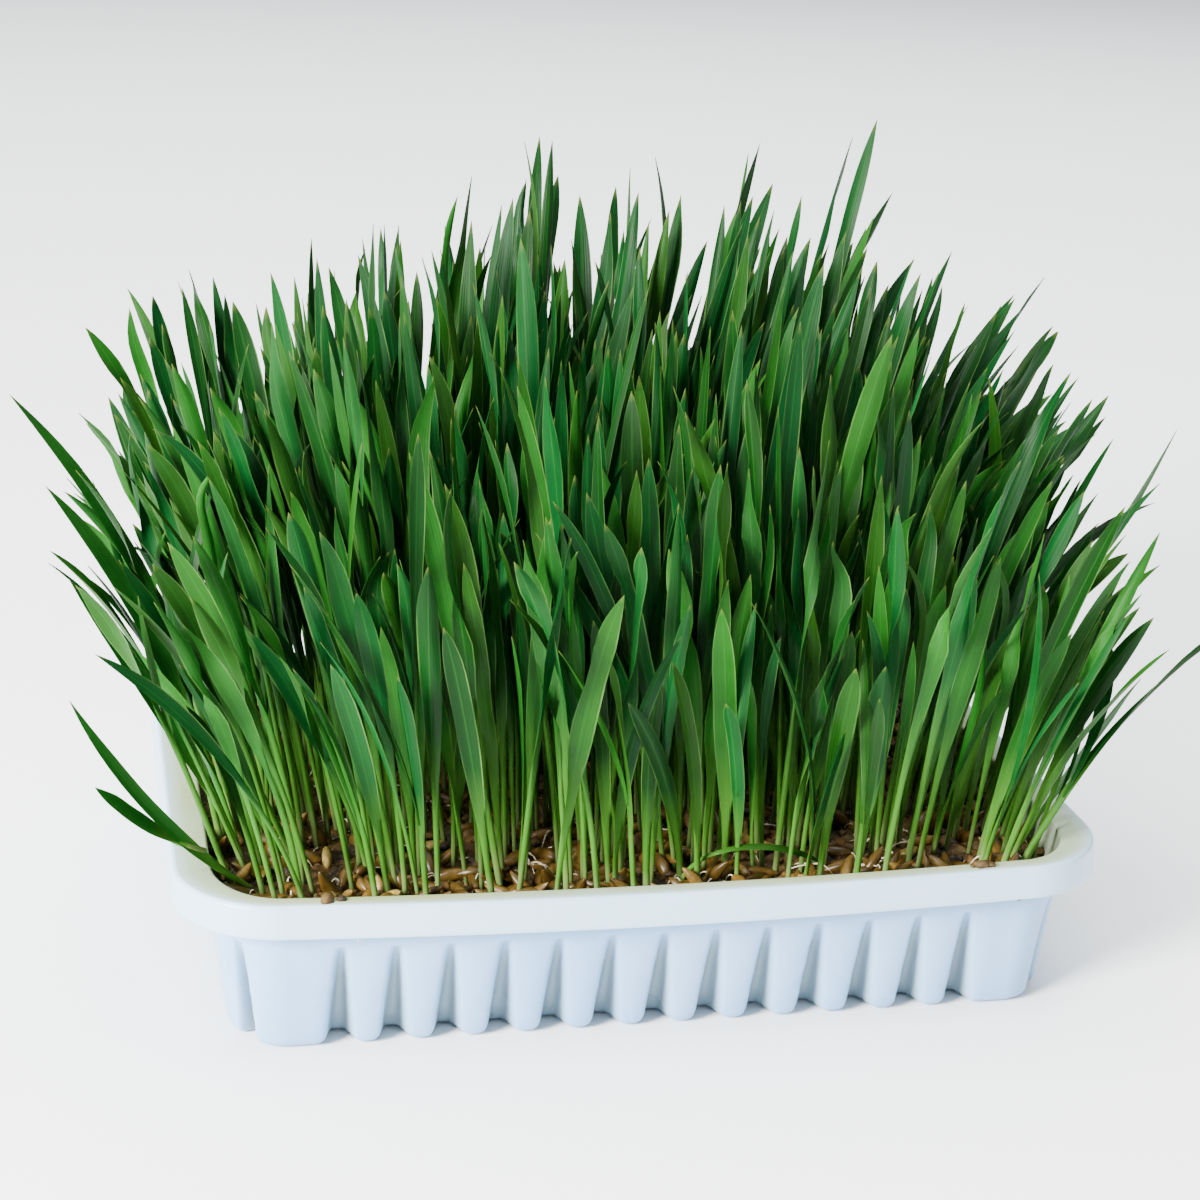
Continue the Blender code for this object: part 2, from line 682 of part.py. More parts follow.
def border_kernels(draw, room):
    """The kernels that lie in the strip of soil between the clods and the tray's wall."""
    kernels = []
    strip_y = (BUNCHES_ACROSS / 2 * BUNCH_PITCH.y) + 0.0012
    strip_x = (BUNCHES_ALONG / 2 * BUNCH_PITCH.x) + 0.0003
    for side, count in ((-1, 8), (1, 4)):
        for index in range(count):
            x = (index + 0.5 + draw.uniform(-0.25, 0.25)) / count * SIDE_X - SIDE_X / 2
            kernels.append((Vector((x, side * strip_y)), draw.gauss(0, 0.15)))
    for side in (-1, 1):
        for index in range(2):
            y = (index + 0.5 + draw.uniform(-0.2, 0.2)) / 2 * SIDE_Y - SIDE_Y / 2
            kernels.append((Vector((side * strip_x, y)), math.pi / 2 + draw.gauss(0, 0.08)))
    laid = []
    for spot, heading in kernels:
        kernel = {"centre": Vector((spot.x, spot.y, SOIL_TOP + 0.0005)),
                  "axis": Vector((math.cos(heading), math.sin(heading), draw.uniform(-0.05, 0.3))).normalized()}
        swollen = make_kernel(kernel, CLEARANCE / 2)
        if not room.touches(*swollen):
            room.add(*swollen)
            laid.append(kernel)
    return laid


def join(base, pieces, name):
    """Fuse the pieces, given as points and faces, into the base by one union, and name the result."""
    group = bpy.data.collections.new(name + "_pieces")
    bpy.context.scene.collection.children.link(group)
    for points, faces in pieces:
        data = bpy.data.meshes.new("piece")
        data.from_pydata(points, [], faces)
        data.update()
        group.objects.link(bpy.data.objects.new("piece", data))
    union = base.modifiers.new("union", "BOOLEAN")
    union.operation = "UNION"
    union.operand_type = "COLLECTION"
    union.collection = group
    union.solver = "MANIFOLD" if name in NEED_MANIFOLD else "EXACT"
    with bpy.context.temp_override(object=base, active_object=base):
        bpy.ops.object.modifier_apply(modifier=union.name)
    for item in list(group.objects):
        bpy.data.objects.remove(item, do_unlink=True)
    bpy.data.collections.remove(group)
    mesh = bmesh.new()
    mesh.from_mesh(base.data)
    bmesh.ops.remove_doubles(mesh, verts=mesh.verts, dist=SLIVER)
    for face in [face for face in mesh.faces if len(face.verts) > 4 and face.normal.z > LEVEL]:
        vertices = list(face.verts)
        mesh.faces.remove(face)
        fill_level(mesh, vertices)
    bmesh.ops.triangulate(mesh, faces=mesh.faces)
    mesh.to_mesh(base.data)
    mesh.free()
    base.name = name
    base.data.name = name


def main():
    clear_scene()
    white = principled("tray_white", (0.82, 0.86, 0.90), 0.38)
    earth = principled("soil_dark", (0.045, 0.028, 0.016), 0.85)
    green = principled("grass_green", (0.06, 0.22, 0.04), 0.45)
    draw = random.Random(SEED)

    tray = make_tray(white)
    soil = make_soil(earth, draw)

    room = Clearance()
    wall = [vertex.co.copy() for vertex in tray.data.vertices]
    room.add(wall, [tuple(face.vertices) for face in tray.data.polygons])

    centres = list(bunch_centres())
    bunches = [[] for _ in centres]
    for number, stray in stray_shoots():
        bunches[number].append(stray)
        room.add(*make_blade(stray, CLEARANCE / 2))
    for centre, shoots in zip(centres, bunches):
        sow_bunch(centre, draw, room, shoots)
    laid = [lay_kernels(centre, draw, room) for centre in centres]
    loose = border_kernels(draw, room)

    join(soil, [make_kernel(kernel) for kernel in loose], "soil")
    for index, centre in enumerate(centres):
        pieces = [make_blade(item) for item in bunches[index]]
        pieces += [make_kernel(kernel) for kernel in laid[index]]
        join(make_clod(centre, green), pieces, f"shoots_{index + 1:02d}")


main()
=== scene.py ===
import math
import random

import bmesh
import bpy
import numpy as np
from bpy.props import FloatProperty, FloatVectorProperty, IntProperty, PointerProperty
from bpy.types import Operator, Panel, PropertyGroup
from mathutils import Matrix, Vector, noise


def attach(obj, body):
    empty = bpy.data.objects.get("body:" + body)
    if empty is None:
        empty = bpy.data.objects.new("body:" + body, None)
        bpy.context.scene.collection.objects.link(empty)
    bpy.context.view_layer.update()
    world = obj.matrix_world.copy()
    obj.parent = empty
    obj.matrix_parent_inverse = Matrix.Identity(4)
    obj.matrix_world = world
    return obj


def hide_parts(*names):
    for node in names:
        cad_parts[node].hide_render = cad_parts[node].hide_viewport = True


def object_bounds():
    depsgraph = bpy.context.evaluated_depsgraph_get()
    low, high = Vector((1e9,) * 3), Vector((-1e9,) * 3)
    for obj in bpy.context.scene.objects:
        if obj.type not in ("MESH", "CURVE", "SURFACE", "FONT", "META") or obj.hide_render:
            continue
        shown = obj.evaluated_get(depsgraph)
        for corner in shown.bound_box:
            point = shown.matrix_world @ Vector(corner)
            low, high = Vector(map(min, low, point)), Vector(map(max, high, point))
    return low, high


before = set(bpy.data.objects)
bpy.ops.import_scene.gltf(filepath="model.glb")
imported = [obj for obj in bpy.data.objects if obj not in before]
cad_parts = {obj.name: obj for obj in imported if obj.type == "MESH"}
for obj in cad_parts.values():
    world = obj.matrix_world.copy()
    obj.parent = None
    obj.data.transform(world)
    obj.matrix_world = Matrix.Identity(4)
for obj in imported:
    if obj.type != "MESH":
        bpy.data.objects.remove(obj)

bl_info = {
    "name": "Wheatgrass tray",
    "version": (1, 0, 0),
    "blender": (4, 5, 0),
    "location": "View3D > Sidebar > Wheatgrass",
    "description": "A white fluted tray of wet soil with sprouted kernels and dense wheatgrass",
    "category": "Add Mesh",
}

CAD_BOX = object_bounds()
SOIL_TOP = 0.0277

# Tray outline: distances round the rim name a place on every loop
RIM_LENGTH = 0.200
RIM_WIDTH = 0.145
RIM_CORNER = 0.0228
RIM_BOW = 0.0032
RIM_TOP = 0.035
SIDE_X = RIM_LENGTH - 2 * RIM_CORNER
SIDE_Y = RIM_WIDTH - 2 * RIM_CORNER
ARC = RIM_CORNER * math.pi / 2
LAP = 2 * (SIDE_X + SIDE_Y + 2 * ARC)

# Tray wall, with its insets from the rim's outline
WALL_TOP_INSET = 0.0043
WALL_GROOVE_INSET = 0.0049
WALL_FOOT_INSET = 0.0066
WALL_TOP_BOW = 0.0028
WALL_GROOVE_BOW = 0.0022
END_TOP_INSET = 0.0032
END_GROOVE_INSET = 0.0036
END_FOOT_INSET = 0.0045
GROOVE_PITCH = 0.0111
GROOVES = (13, 9)
GROOVE_TOP = 0.0238
GROOVE_FOOT = 0.0022
GROOVE_DEPTH = 0.0060
FOOT_ROUND = 0.0028
CROWN = 0.0020
CORNER_SHARE = 1 - WALL_FOOT_INSET / RIM_CORNER
# A groove's width at its top and at its foot, where it opens and where it is deepest
GROOVE_MOUTH = (0.0034, 0.0068)
GROOVE_FLOOR = (0.0002, 0.0020)
# From the deepest of the grooves to the flat of the underside
FLOOR_MARGIN = 0.0034
# The height at which the wall's insets change their slope, and the heights of its loops: evenly
# spaced ones up to EVEN_TOP, then those of the outer and the inner side
MIDDLE_HEIGHT = 0.0226
EVEN_TOP = 0.0218
OUTER_HEIGHTS = (0.0223, 0.0228, 0.0232, 0.0235, 0.0237, 0.0238, 0.0242, 0.0270, 0.0310, 0.0336)
INNER_HEIGHTS = (0.0320, 0.0290, 0.0262, 0.0246, 0.0236, 0.0226)
INNER_FLOOR_HEIGHT = 0.0032
INNER_ROUND = 0.0014
# How much higher the grooves start on the inner side
INNER_LIFT = 0.0004

# Rim and its turned-down skirt, with their small rounds
RIM_DRAFT = 0.0005
RIM_ROUND = 0.0011
RIM_MIDDLE = 0.0029
LIP_ROUND = 0.0007
SKIRT_DEPTH = 0.0070
SKIRT_ROUND = 0.0003
SKIRT_DRAFT = 0.00005
SKIRT_BAND = 0.0012
CREASE_ROUND = 0.0005
# Steps out and down from the wall to the underside of the rim
UNDER_STEPS = ((0.0002, 0.0001), (0.0006, 0.0))

# Soil bed
SOIL_PLACES = 760
SOIL_RINGS = 116
# From the outside of the wall to the soil's side, and the height that the side starts at
SOIL_GAP = 0.0013
SOIL_FOOT = 0.0012
SOIL_HEIGHTS = (0.0060, 0.0120, 0.0180, 0.0222, 0.0252)
# How much nearer to the wall the top's edge is, and how far the bed's ends stand back
SOIL_LIP = 0.0003
SOIL_END = 0.0012
# Lumps and grains to a metre, and how much crumbs and grains raise the top
LUMP_PITCH = 55
GRAIN_PITCH = 900
CRUMB_RISE = 0.0014
GRAIN_RISE = 0.0003
# Crumbs that lie on the rim: where they are and their size
RIM_CRUMBS = [(-0.0700, -0.0700, 0.0017), (-0.0672, -0.0696, 0.0009), (0.0672, -0.0700, 0.0015),
              (0.0694, -0.0697, 0.0009), (0.0655, -0.0698, 0.0007)]
# The smallest crumb, how much larger the largest is, and the size from which one has a finer ball
SMALL_CRUMB = 0.00035
CRUMB_SPREAD = 0.0013
FINE_CRUMB = 0.0007
# How far crumbs, kernels and roots of shoots keep from the wall
CRUMB_MARGIN = 0.0012
KERNEL_MARGIN = 0.0024
SHOOT_MARGIN = 0.0035

# Kernels: every ninth lies in the strip along the front wall
FRONT_KERNEL = 9
FRONT_STRIP = (0.0055, 0.0180)
STRIP_HALF = 0.080
LYING_SHARE = 0.78
STEEP_TILT = (0.5, 1.1)
# How high a kernel lies, how much more a steep one does, and by how much that differs
KERNEL_REST = 0.0007
TILT_RISE = 0.0024
REST_SPREAD = (-0.0004, 0.0009)
ROOTED_SHARE = 0.5
# From a kernel's centre to its germ, where the rootlets start
GERM = 0.0036
ROOTLET_RADIUS = 0.00022
ROOTLET_REACH = (0.003, 0.008)
ROOTLET_RISE = (0.0006, 0.0022)
ROOTLET_DEPTH = 0.0012

# Stand: in front of this line the bed is sparser, and so many of the spots there are left free
FRONT_BED = -0.030
FRONT_GAPS = 0.75
LEAST_SHOOTS = 300
# A shoot of the frame this near to a stray's root is left to the stray
SAME_ROOT = 0.0012
# A shoot lower than this stays plain, without curl, wave or sharp turn
LOW_SHOOT = 0.065
# Shares of the taller shoots with a curled tip, a waving leaf or a sharp turn
CURLED, WAVING, TURNED = 0.3, 0.5, 0.5
CURL = 0.006
# How far a shoot of the frame sways and a new one leans, sideways and forwards or back
SWAY = (0.0026, 0.0016)
LEAN = (0.0110, 0.0070)
LEAF_WIDTHS = (0.0027, 0.0052)
# Fixed heights at which shoots are kept from crossing, and how near two middles may come
LEVELS = np.arange(SOIL_TOP, 0.182, 0.005)
CLOSEST = 0.0010
# Shares of its length at which a blade of the frame has its root, its rings and its tip
SHORT_BLADE = (0.0, 0.30, 0.68, 1.0)
LONG_BLADE = (0.0, 0.30, 0.60, 0.84, 1.0)
# Height over the soil above which the frame holds only blades, and the slack for a root at the soil
LOWEST_RING = 0.006
ROOT_SLACK = 0.0004

# Section of a shoot: a round stem of eight points, which become those of a flat leaf
SHARES = np.array([0.0, 0.06, 0.12, 0.17, 0.22, 0.27, 0.32, 0.38, 0.44, 0.50, 0.56, 0.62, 0.68, 0.74,
                   0.80, 0.85, 0.89, 0.925, 0.955, 0.978, 0.992])
ROUND = np.radians((180, 135, 90, 45, 0, -45, -90, -135))
FLAT_ACROSS = np.array([-1.0, -0.52, 0.0, 0.52, 1.0, 0.52, 0.0, -0.52])
FLAT_DEEP = np.array([0.0, 0.32, 0.5, 0.32, 0.0, -0.32, -0.5, -0.32])
# How flat a stem's section is, how deep a stem goes into the soil, and the share of the length
# over which a leaf flattens out
STEM_OVAL = 0.86
STEM_ROOT = 0.0032
FLATTENING = 0.20
# The share over which a leaf widens, how blunt its point is, and a side leaf's foot to a stem's width
WIDENING = 0.44
BLUNTNESS = 2.2
SIDE_FOOT = 0.75

# Lights: where each hangs, its width and its colour. All face the middle of the grass
LIGHTS = {
    "key": ((-0.85, -0.58, 0.48), 0.36, (1.0, 0.98, 0.93)),
    "ceiling": ((0.0, 0.6, 2.4), 3.0, (0.97, 0.99, 1.0)),
    "right_fill": ((0.75, -0.35, 0.40), 0.60, (1.0, 0.95, 0.85)),
}
GRASS_MIDDLE = (0, 0, 0.07)
SKY_COLOUR = (0.90, 0.95, 1.0, 1.0)
FLOOR_HALF = 6.0
# Camera, fitted to the rim, the flutes and the grooves in the photo
CAMERA_PLACE = (-0.11728, -0.51046, 0.24504)
CAMERA_TURN = Matrix(((0.977235, 0.027051, -0.210427),
                      (-0.208154, 0.314051, -0.926307),
                      (0.041027, 0.949021, 0.312532)))
FOCAL_LENGTH = 73.17

# Bunches of shoots, row by row from the front left
BUNCHES = [f"shoots_{number:02d}" for number in range(1, 33)]


# Properties


class TrayProperties(PropertyGroup):
    """Finish and fineness of the tray."""

    wall: FloatProperty(name="Wall", description="Thickness of the plastic", default=0.0009,
                        unit="LENGTH")
    step: FloatProperty(name="Step", description="Length of one face round the rim", default=0.00062,
                        unit="LENGTH")
    white: FloatVectorProperty(name="White", description="Colour of the plastic", subtype="COLOR",
                               default=(0.24, 0.440, 0.73), min=0, max=1)
    # Painted light: the rim, the skirt and the tray's inner side get this lighter, warmer white, as if more
    # light falls on them than on the wall
    rim: FloatVectorProperty(name="Rim white", description="Colour of the thicker plastic of the rim",
                             subtype="COLOR", default=(0.43, 0.61, 0.76), min=0, max=1)
    # Painted shade: this darker warm grey is painted into the grooves as the shade in their recesses
    groove: FloatVectorProperty(name="Groove", description="Colour of the thin grooves over the soil",
                                subtype="COLOR", default=(0.20, 0.25, 0.24), min=0, max=1)
    # Painted reflection: this green stands for the grass reflected in the rim's inner side
    grass_reflection: FloatVectorProperty(name="Grass reflection", description="Colour of the damp film on the rim's inner side",
                              subtype="COLOR", default=(0.33, 0.38, 0.17), min=0, max=1)
    gloss: FloatProperty(name="Roughness", description="Roughness of the plastic", default=0.27,
                         subtype="FACTOR")


class SoilProperties(PropertyGroup):
    """Lumps, crumbs and kernels of the bed."""

    lump: FloatProperty(name="Lumps", description="Height of the large lumps", default=0.0011,
                        unit="LENGTH")
    crumb: FloatProperty(name="Crumb size", description="Size of the crumbs that the surface breaks into",
                         default=0.0026, unit="LENGTH")
    crumbs: IntProperty(name="Loose crumbs", description="Number of loose crumbs", default=2600, min=0)
    kernels: IntProperty(name="Kernels", description="Number of sprouted kernels on the soil",
                         default=760, min=0)
    kernel_length: FloatProperty(name="Kernel length", description="Length of a kernel in its husk",
                                 default=0.0086, unit="LENGTH")
    kernel_width: FloatProperty(name="Kernel width", description="Width of a kernel in its husk",
                                default=0.0032, unit="LENGTH")
    dark: FloatVectorProperty(name="Wet soil", description="Colour of the wet soil", subtype="COLOR",
                              default=(0.014, 0.0075, 0.003), min=0, max=1)
    tan: FloatVectorProperty(name="Husk", description="Colour of the husks", subtype="COLOR",
                             default=(0.112, 0.064, 0.0105), min=0, max=1)


class GrassProperties(PropertyGroup):
    """Number, form and colours of the shoots."""

    fill: IntProperty(name="Fill", description="Number of spots tried for shoots among those of the frame",
                      default=1450, min=0)
    spacing: FloatProperty(name="Spacing", description="Least distance between two roots", default=0.0025,
                           unit="LENGTH")
    side_leaves: FloatProperty(name="Side leaves", description="Share of shoots with a second leaf",
                               default=0.30, subtype="FACTOR", min=0, max=1)
    stem: FloatProperty(name="Stem", description="Width of a stem", default=0.00145, unit="LENGTH")
    leaf: FloatProperty(name="Leaf thickness", description="Thickness of a leaf at its midrib",
                        default=0.00042, unit="LENGTH")
    fold: FloatProperty(name="Fold", description="Depth of a leaf's channel, as a share of its width",
                        default=0.17, subtype="FACTOR")
    deep: FloatVectorProperty(name="Deep green", description="Colour of the oldest leaves", subtype="COLOR",
                              default=(0.0034, 0.036, 0.0026), min=0, max=1)
    fresh: FloatVectorProperty(name="Fresh green", description="Colour of the youngest leaves",
                               subtype="COLOR", default=(0.018, 0.137, 0.0135), min=0, max=1)
    stalk: FloatVectorProperty(name="Stem green", description="Colour of the stems", subtype="COLOR",
                               default=(0.056, 0.180, 0.0170), min=0, max=1)
    pale: FloatVectorProperty(name="Pale foot", description="Colour of the stems at the soil",
                              subtype="COLOR", default=(0.19, 0.26, 0.085), min=0, max=1)
    margin: FloatVectorProperty(name="Margin", description="Colour of the leaves' thin pale margins",
                                subtype="COLOR", default=(0.13, 0.26, 0.060), min=0, max=1)
    seed: IntProperty(name="Seed", description="Number that the random draws start from", default=5)


class StageProperties(PropertyGroup):
    """Floor, lights and camera."""

    floor: FloatVectorProperty(name="Floor", description="Colour of the floor", subtype="COLOR",
                               default=(0.93, 0.935, 0.94), min=0, max=1)
    key: FloatProperty(name="Key light", description="Power of the large light at the left", default=72.0,
                       unit="POWER")
    fill: FloatProperty(name="Fill light", description="Power of the light at the right", default=2.5,
                        unit="POWER")
    ceiling: FloatProperty(name="Ceiling", description="Power of the broad light overhead", default=220.0,
                           unit="POWER")
    sky: FloatProperty(name="Sky", description="Strength of the light from all around", default=0.55)


# Meshes


def placed(name, data):
    """An object of the scene that holds a mesh, a light or a camera."""
    item = bpy.data.objects.new(name, data)
    bpy.context.scene.collection.objects.link(item)
    return item


def add_piece(name, points, faces, material, attributes=None, sharp=None):
    """A smooth piece that rides on the tray's body. Attributes are one number for each point."""
    data = bpy.data.meshes.new(name)
    data.from_pydata(points, [], faces)
    data.materials.append(material)
    for label, values in (attributes or {}).items():
        layer = data.attributes.new(label, "FLOAT", "POINT")
        layer.data.foreach_set("value", np.asarray(values, dtype=np.float32))
    data.shade_smooth()
    if sharp:
        edges = np.empty(len(data.edges) * 2, dtype=np.int32)
        data.edges.foreach_get("vertices", edges)
        marked = [tuple(sorted(pair)) in sharp for pair in edges.reshape(-1, 2).tolist()]
        layer = data.attributes.new("sharp_edge", "BOOLEAN", "EDGE")
        layer.data.foreach_set("value", marked)
    if data.validate():
        raise RuntimeError(f"{name} has a face that is not valid")
    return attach(placed(name, data), "root")


def loft(count, loops):
    """Faces between neighbouring closed loops of count points each, numbered one after another."""
    faces = []
    for row in range(loops - 1):
        low, high = row * count, (row + 1) * count
        faces += [(low + i, low + (i + 1) % count, high + (i + 1) % count, high + i) for i in range(count)]
    return faces


def fan(first, count, pole):
    """Faces from a loop of count points to one point."""
    return [(first + i, first + (i + 1) % count, pole) for i in range(count)]


def moved(faces, start):
    """Faces of a shape whose points come after start others."""
    return [tuple(start + corner for corner in face) for face in faces]


# Materials


def new_material(name, roughness, specular=0.5, depth=None):
    """A material with nodes, and its tree and shader. Light goes in as deep as asked."""
    material = bpy.data.materials.new(name)
    material.use_nodes = True
    shader = material.node_tree.nodes["Principled BSDF"]
    shader.inputs["Roughness"].default_value = roughness
    shader.inputs["Specular IOR Level"].default_value = specular
    if depth:
        shader.inputs["Subsurface Weight"].default_value = depth[0]
        shader.inputs["Subsurface Scale"].default_value = depth[1]
    return material, material.node_tree, shader


def connect(tree, shader, colour, roughness=None, normal=None):
    """Give the shader its colour and, where there are any, its own roughness and bumps."""
    for name, source in (("Base Color", colour), ("Roughness", roughness), ("Normal", normal)):
        if source is not None:
            tree.links.new(source, shader.inputs[name])


def add_node(tree, kind, inputs=None, **settings):
    """A node with its settings, and its sockets linked or set."""
    node = tree.nodes.new(kind)
    for name, value in settings.items():
        setattr(node, name, value)
    for name, value in (inputs or {}).items():
        if isinstance(value, bpy.types.NodeSocket):
            tree.links.new(value, node.inputs[name])
        else:
            node.inputs[name].default_value = value
    return node


def ramp(tree, factor, stops):
    """A colour ramp through pairs of position and colour or grey."""
    node = add_node(tree, "ShaderNodeValToRGB", {"Fac": factor})
    elements = node.color_ramp.elements
    while len(elements) < len(stops):
        elements.new(0.5)
    for element, (position, colour) in zip(elements, stops):
        element.position = position
        element.color = (*colour, 1.0) if isinstance(colour, tuple) else (colour, colour, colour, 1.0)
    return node.outputs["Color"]


def blend(tree, factor, first, second, way="MIX"):
    """Two colours mixed by a factor. A colour is a socket or three numbers."""
    node = tree.nodes.new("ShaderNodeMix")
    node.data_type = "RGBA"
    node.blend_type = way
    for socket, value in ((node.inputs[0], factor), (node.inputs[6], first), (node.inputs[7], second)):
        if isinstance(value, bpy.types.NodeSocket):
            tree.links.new(value, socket)
        elif isinstance(value, (int, float)):
            socket.default_value = value
        else:
            socket.default_value = (*value, 1.0)
    return node.outputs[2]


def maths(tree, operation, first, second=0.0):
    """One sum of two numbers or sockets."""
    return add_node(tree, "ShaderNodeMath", {0: first, 1: second}, operation=operation).outputs[0]


def ridges(tree, value, pitch):
    """Fine ridges side by side along a value, from 0 to 1."""
    sine = maths(tree, "SINE", maths(tree, "MULTIPLY", value, pitch))
    return add_node(tree, "ShaderNodeMath", {0: sine, 1: 0.5, 2: 0.5}, operation="MULTIPLY_ADD").outputs[0]


def attribute(tree, name):
    """A number that the mesh holds at each point."""
    return add_node(tree, "ShaderNodeAttribute", attribute_name=name).outputs["Fac"]


def noise_texture(tree, scale, detail=3.0, roughness=0.5, stretch=None):
    """Noise in the tray's own metres, stretched along an axis if asked."""
    where = add_node(tree, "ShaderNodeTexCoord").outputs["Object"]
    if stretch:
        where = add_node(tree, "ShaderNodeMapping", {"Vector": where, "Scale": stretch}).outputs[0]
    inputs = {"Vector": where, "Scale": scale, "Detail": detail, "Roughness": roughness}
    return add_node(tree, "ShaderNodeTexNoise", inputs).outputs["Fac"]


def bump(tree, height, strength, distance):
    """A bump's normal."""
    inputs = {"Height": height, "Strength": strength, "Distance": distance}
    return add_node(tree, "ShaderNodeBump", inputs).outputs["Normal"]


def shade(colour, factor):
    """A colour made lighter or darker."""
    return tuple(min(1.0, part * factor) for part in colour)


def plastic_material(tray):
    """Glossy white plastic with the faint mottle and ripple of thin moulding, painted lighter on the rim and
    skirt, with painted shade in the grooves and a painted reflection of the grass on the rim's inner side.
    """
    material, tree, shader = new_material("white_plastic", tray.gloss, 0.45, (0.06, 0.002))
    white, rim = tuple(tray.white), tuple(tray.rim)
    mottle = noise_texture(tree, 160.0, 4.0)
    colour = ramp(tree, mottle, [(0.30, shade(white, 0.94)), (0.70, white)])
    haze = noise_texture(tree, 24.0, 2.0)
    colour = blend(tree, ramp(tree, haze, [(0.35, 0.0), (0.75, 0.25)]), colour, rim)
    # Painted light: the rim, the skirt and the inner side are painted in the lighter rim white
    colour = blend(tree, ramp(tree, attribute(tree, "rim"), [(0.0, 0.0), (1.0, 0.9)]), colour, rim)
    # Painted shade: the grooves are painted darker, the more the deeper they are
    thin = ramp(tree, attribute(tree, "groove"), [(0.04, 0.0), (0.55, 0.75)])
    colour = blend(tree, thin, colour, tuple(tray.groove))
    # Painted reflection: the grass's green is painted on the rim's inner side, in mottled strength
    reflection_share = maths(tree, "MULTIPLY", attribute(tree, "inner"), ramp(tree, haze, [(0.3, 0.70), (0.7, 0.95)]))
    colour = blend(tree, reflection_share, colour, tuple(tray.grass_reflection))
    roughness = ramp(tree, haze, [(0.3, tray.gloss * 0.85), (0.7, tray.gloss * 1.3)])
    ripple = noise_texture(tree, 420.0, 3.0)
    connect(tree, shader, colour, roughness, bump(tree, ripple, 0.12, 0.0002))
    return material


def soil_material(soil):
    """Wet crumbly soil: near black in its hollows, brown on its crumbs, with wet glints."""
    material, tree, shader = new_material("wet_soil", 0.6, 0.35)
    dark = tuple(soil.dark)
    crumb_brown, dry_brown, straw_brown = (0.085, 0.047, 0.014), (0.115, 0.064, 0.013), (0.125, 0.062, 0.012)
    tone = attribute(tree, "tone")
    grain = noise_texture(tree, 700.0, 6.0, 0.65)
    patch = noise_texture(tree, 120.0, 3.0)
    brown = ramp(tree, grain, [(0.34, shade(dark, 0.45)), (0.52, dark), (0.72, crumb_brown)])
    colour = blend(tree, ramp(tree, patch, [(0.38, 0.0), (0.62, 0.8)]), brown, dry_brown)
    colour = blend(tree, ramp(tree, tone, [(0.45, 0.0), (1.0, 0.9)]), colour, straw_brown)
    wet = ramp(tree, noise_texture(tree, 260.0, 2.0), [(0.40, 0.22), (0.56, 0.75)])
    connect(tree, shader, colour, wet, bump(tree, grain, 0.8, 0.0006))
    return material


def kernel_material(soil):
    """Golden husks with fine long streaks, darker at the germ and a little at the far end."""
    material, tree, shader = new_material("wheat_husk", 0.30, 0.3, (0.12, 0.001))
    tan = tuple(soil.tan)
    straw, germ_brown = (0.34, 0.25, 0.070), (0.10, 0.05, 0.015)
    tone = attribute(tree, "tone")
    along = attribute(tree, "along")
    colour = ramp(tree, tone, [(0.0, shade(tan, 0.30)), (0.45, shade(tan, 0.8)), (0.75, shade(tan, 1.25)),
                               (1.0, straw)])
    streak = ridges(tree, attribute(tree, "around"), 26.0)
    speckle = noise_texture(tree, 900.0, 3.0)
    colour = blend(tree, ramp(tree, speckle, [(0.35, 0.55), (0.62, 0.0)]), colour, shade(tan, 0.33))
    colour = blend(tree, ramp(tree, streak, [(0.0, 0.0), (1.0, 0.28)]), colour, shade(tan, 0.5))
    ends = ramp(tree, along, [(0.0, 0.65), (0.13, 0.0), (0.90, 0.0), (1.0, 0.45)])
    colour = blend(tree, ends, colour, germ_brown)
    connect(tree, shader, colour, normal=bump(tree, streak, 0.35, 0.0001))
    return material


def root_material():
    """Pale rootlets, a little earthy."""
    material, tree, shader = new_material("rootlet", 0.45)
    earthy, clean = (0.36, 0.28, 0.16), (0.72, 0.66, 0.50)
    connect(tree, shader, ramp(tree, noise_texture(tree, 500.0, 3.0), [(0.35, earthy), (0.6, clean)]))
    return material


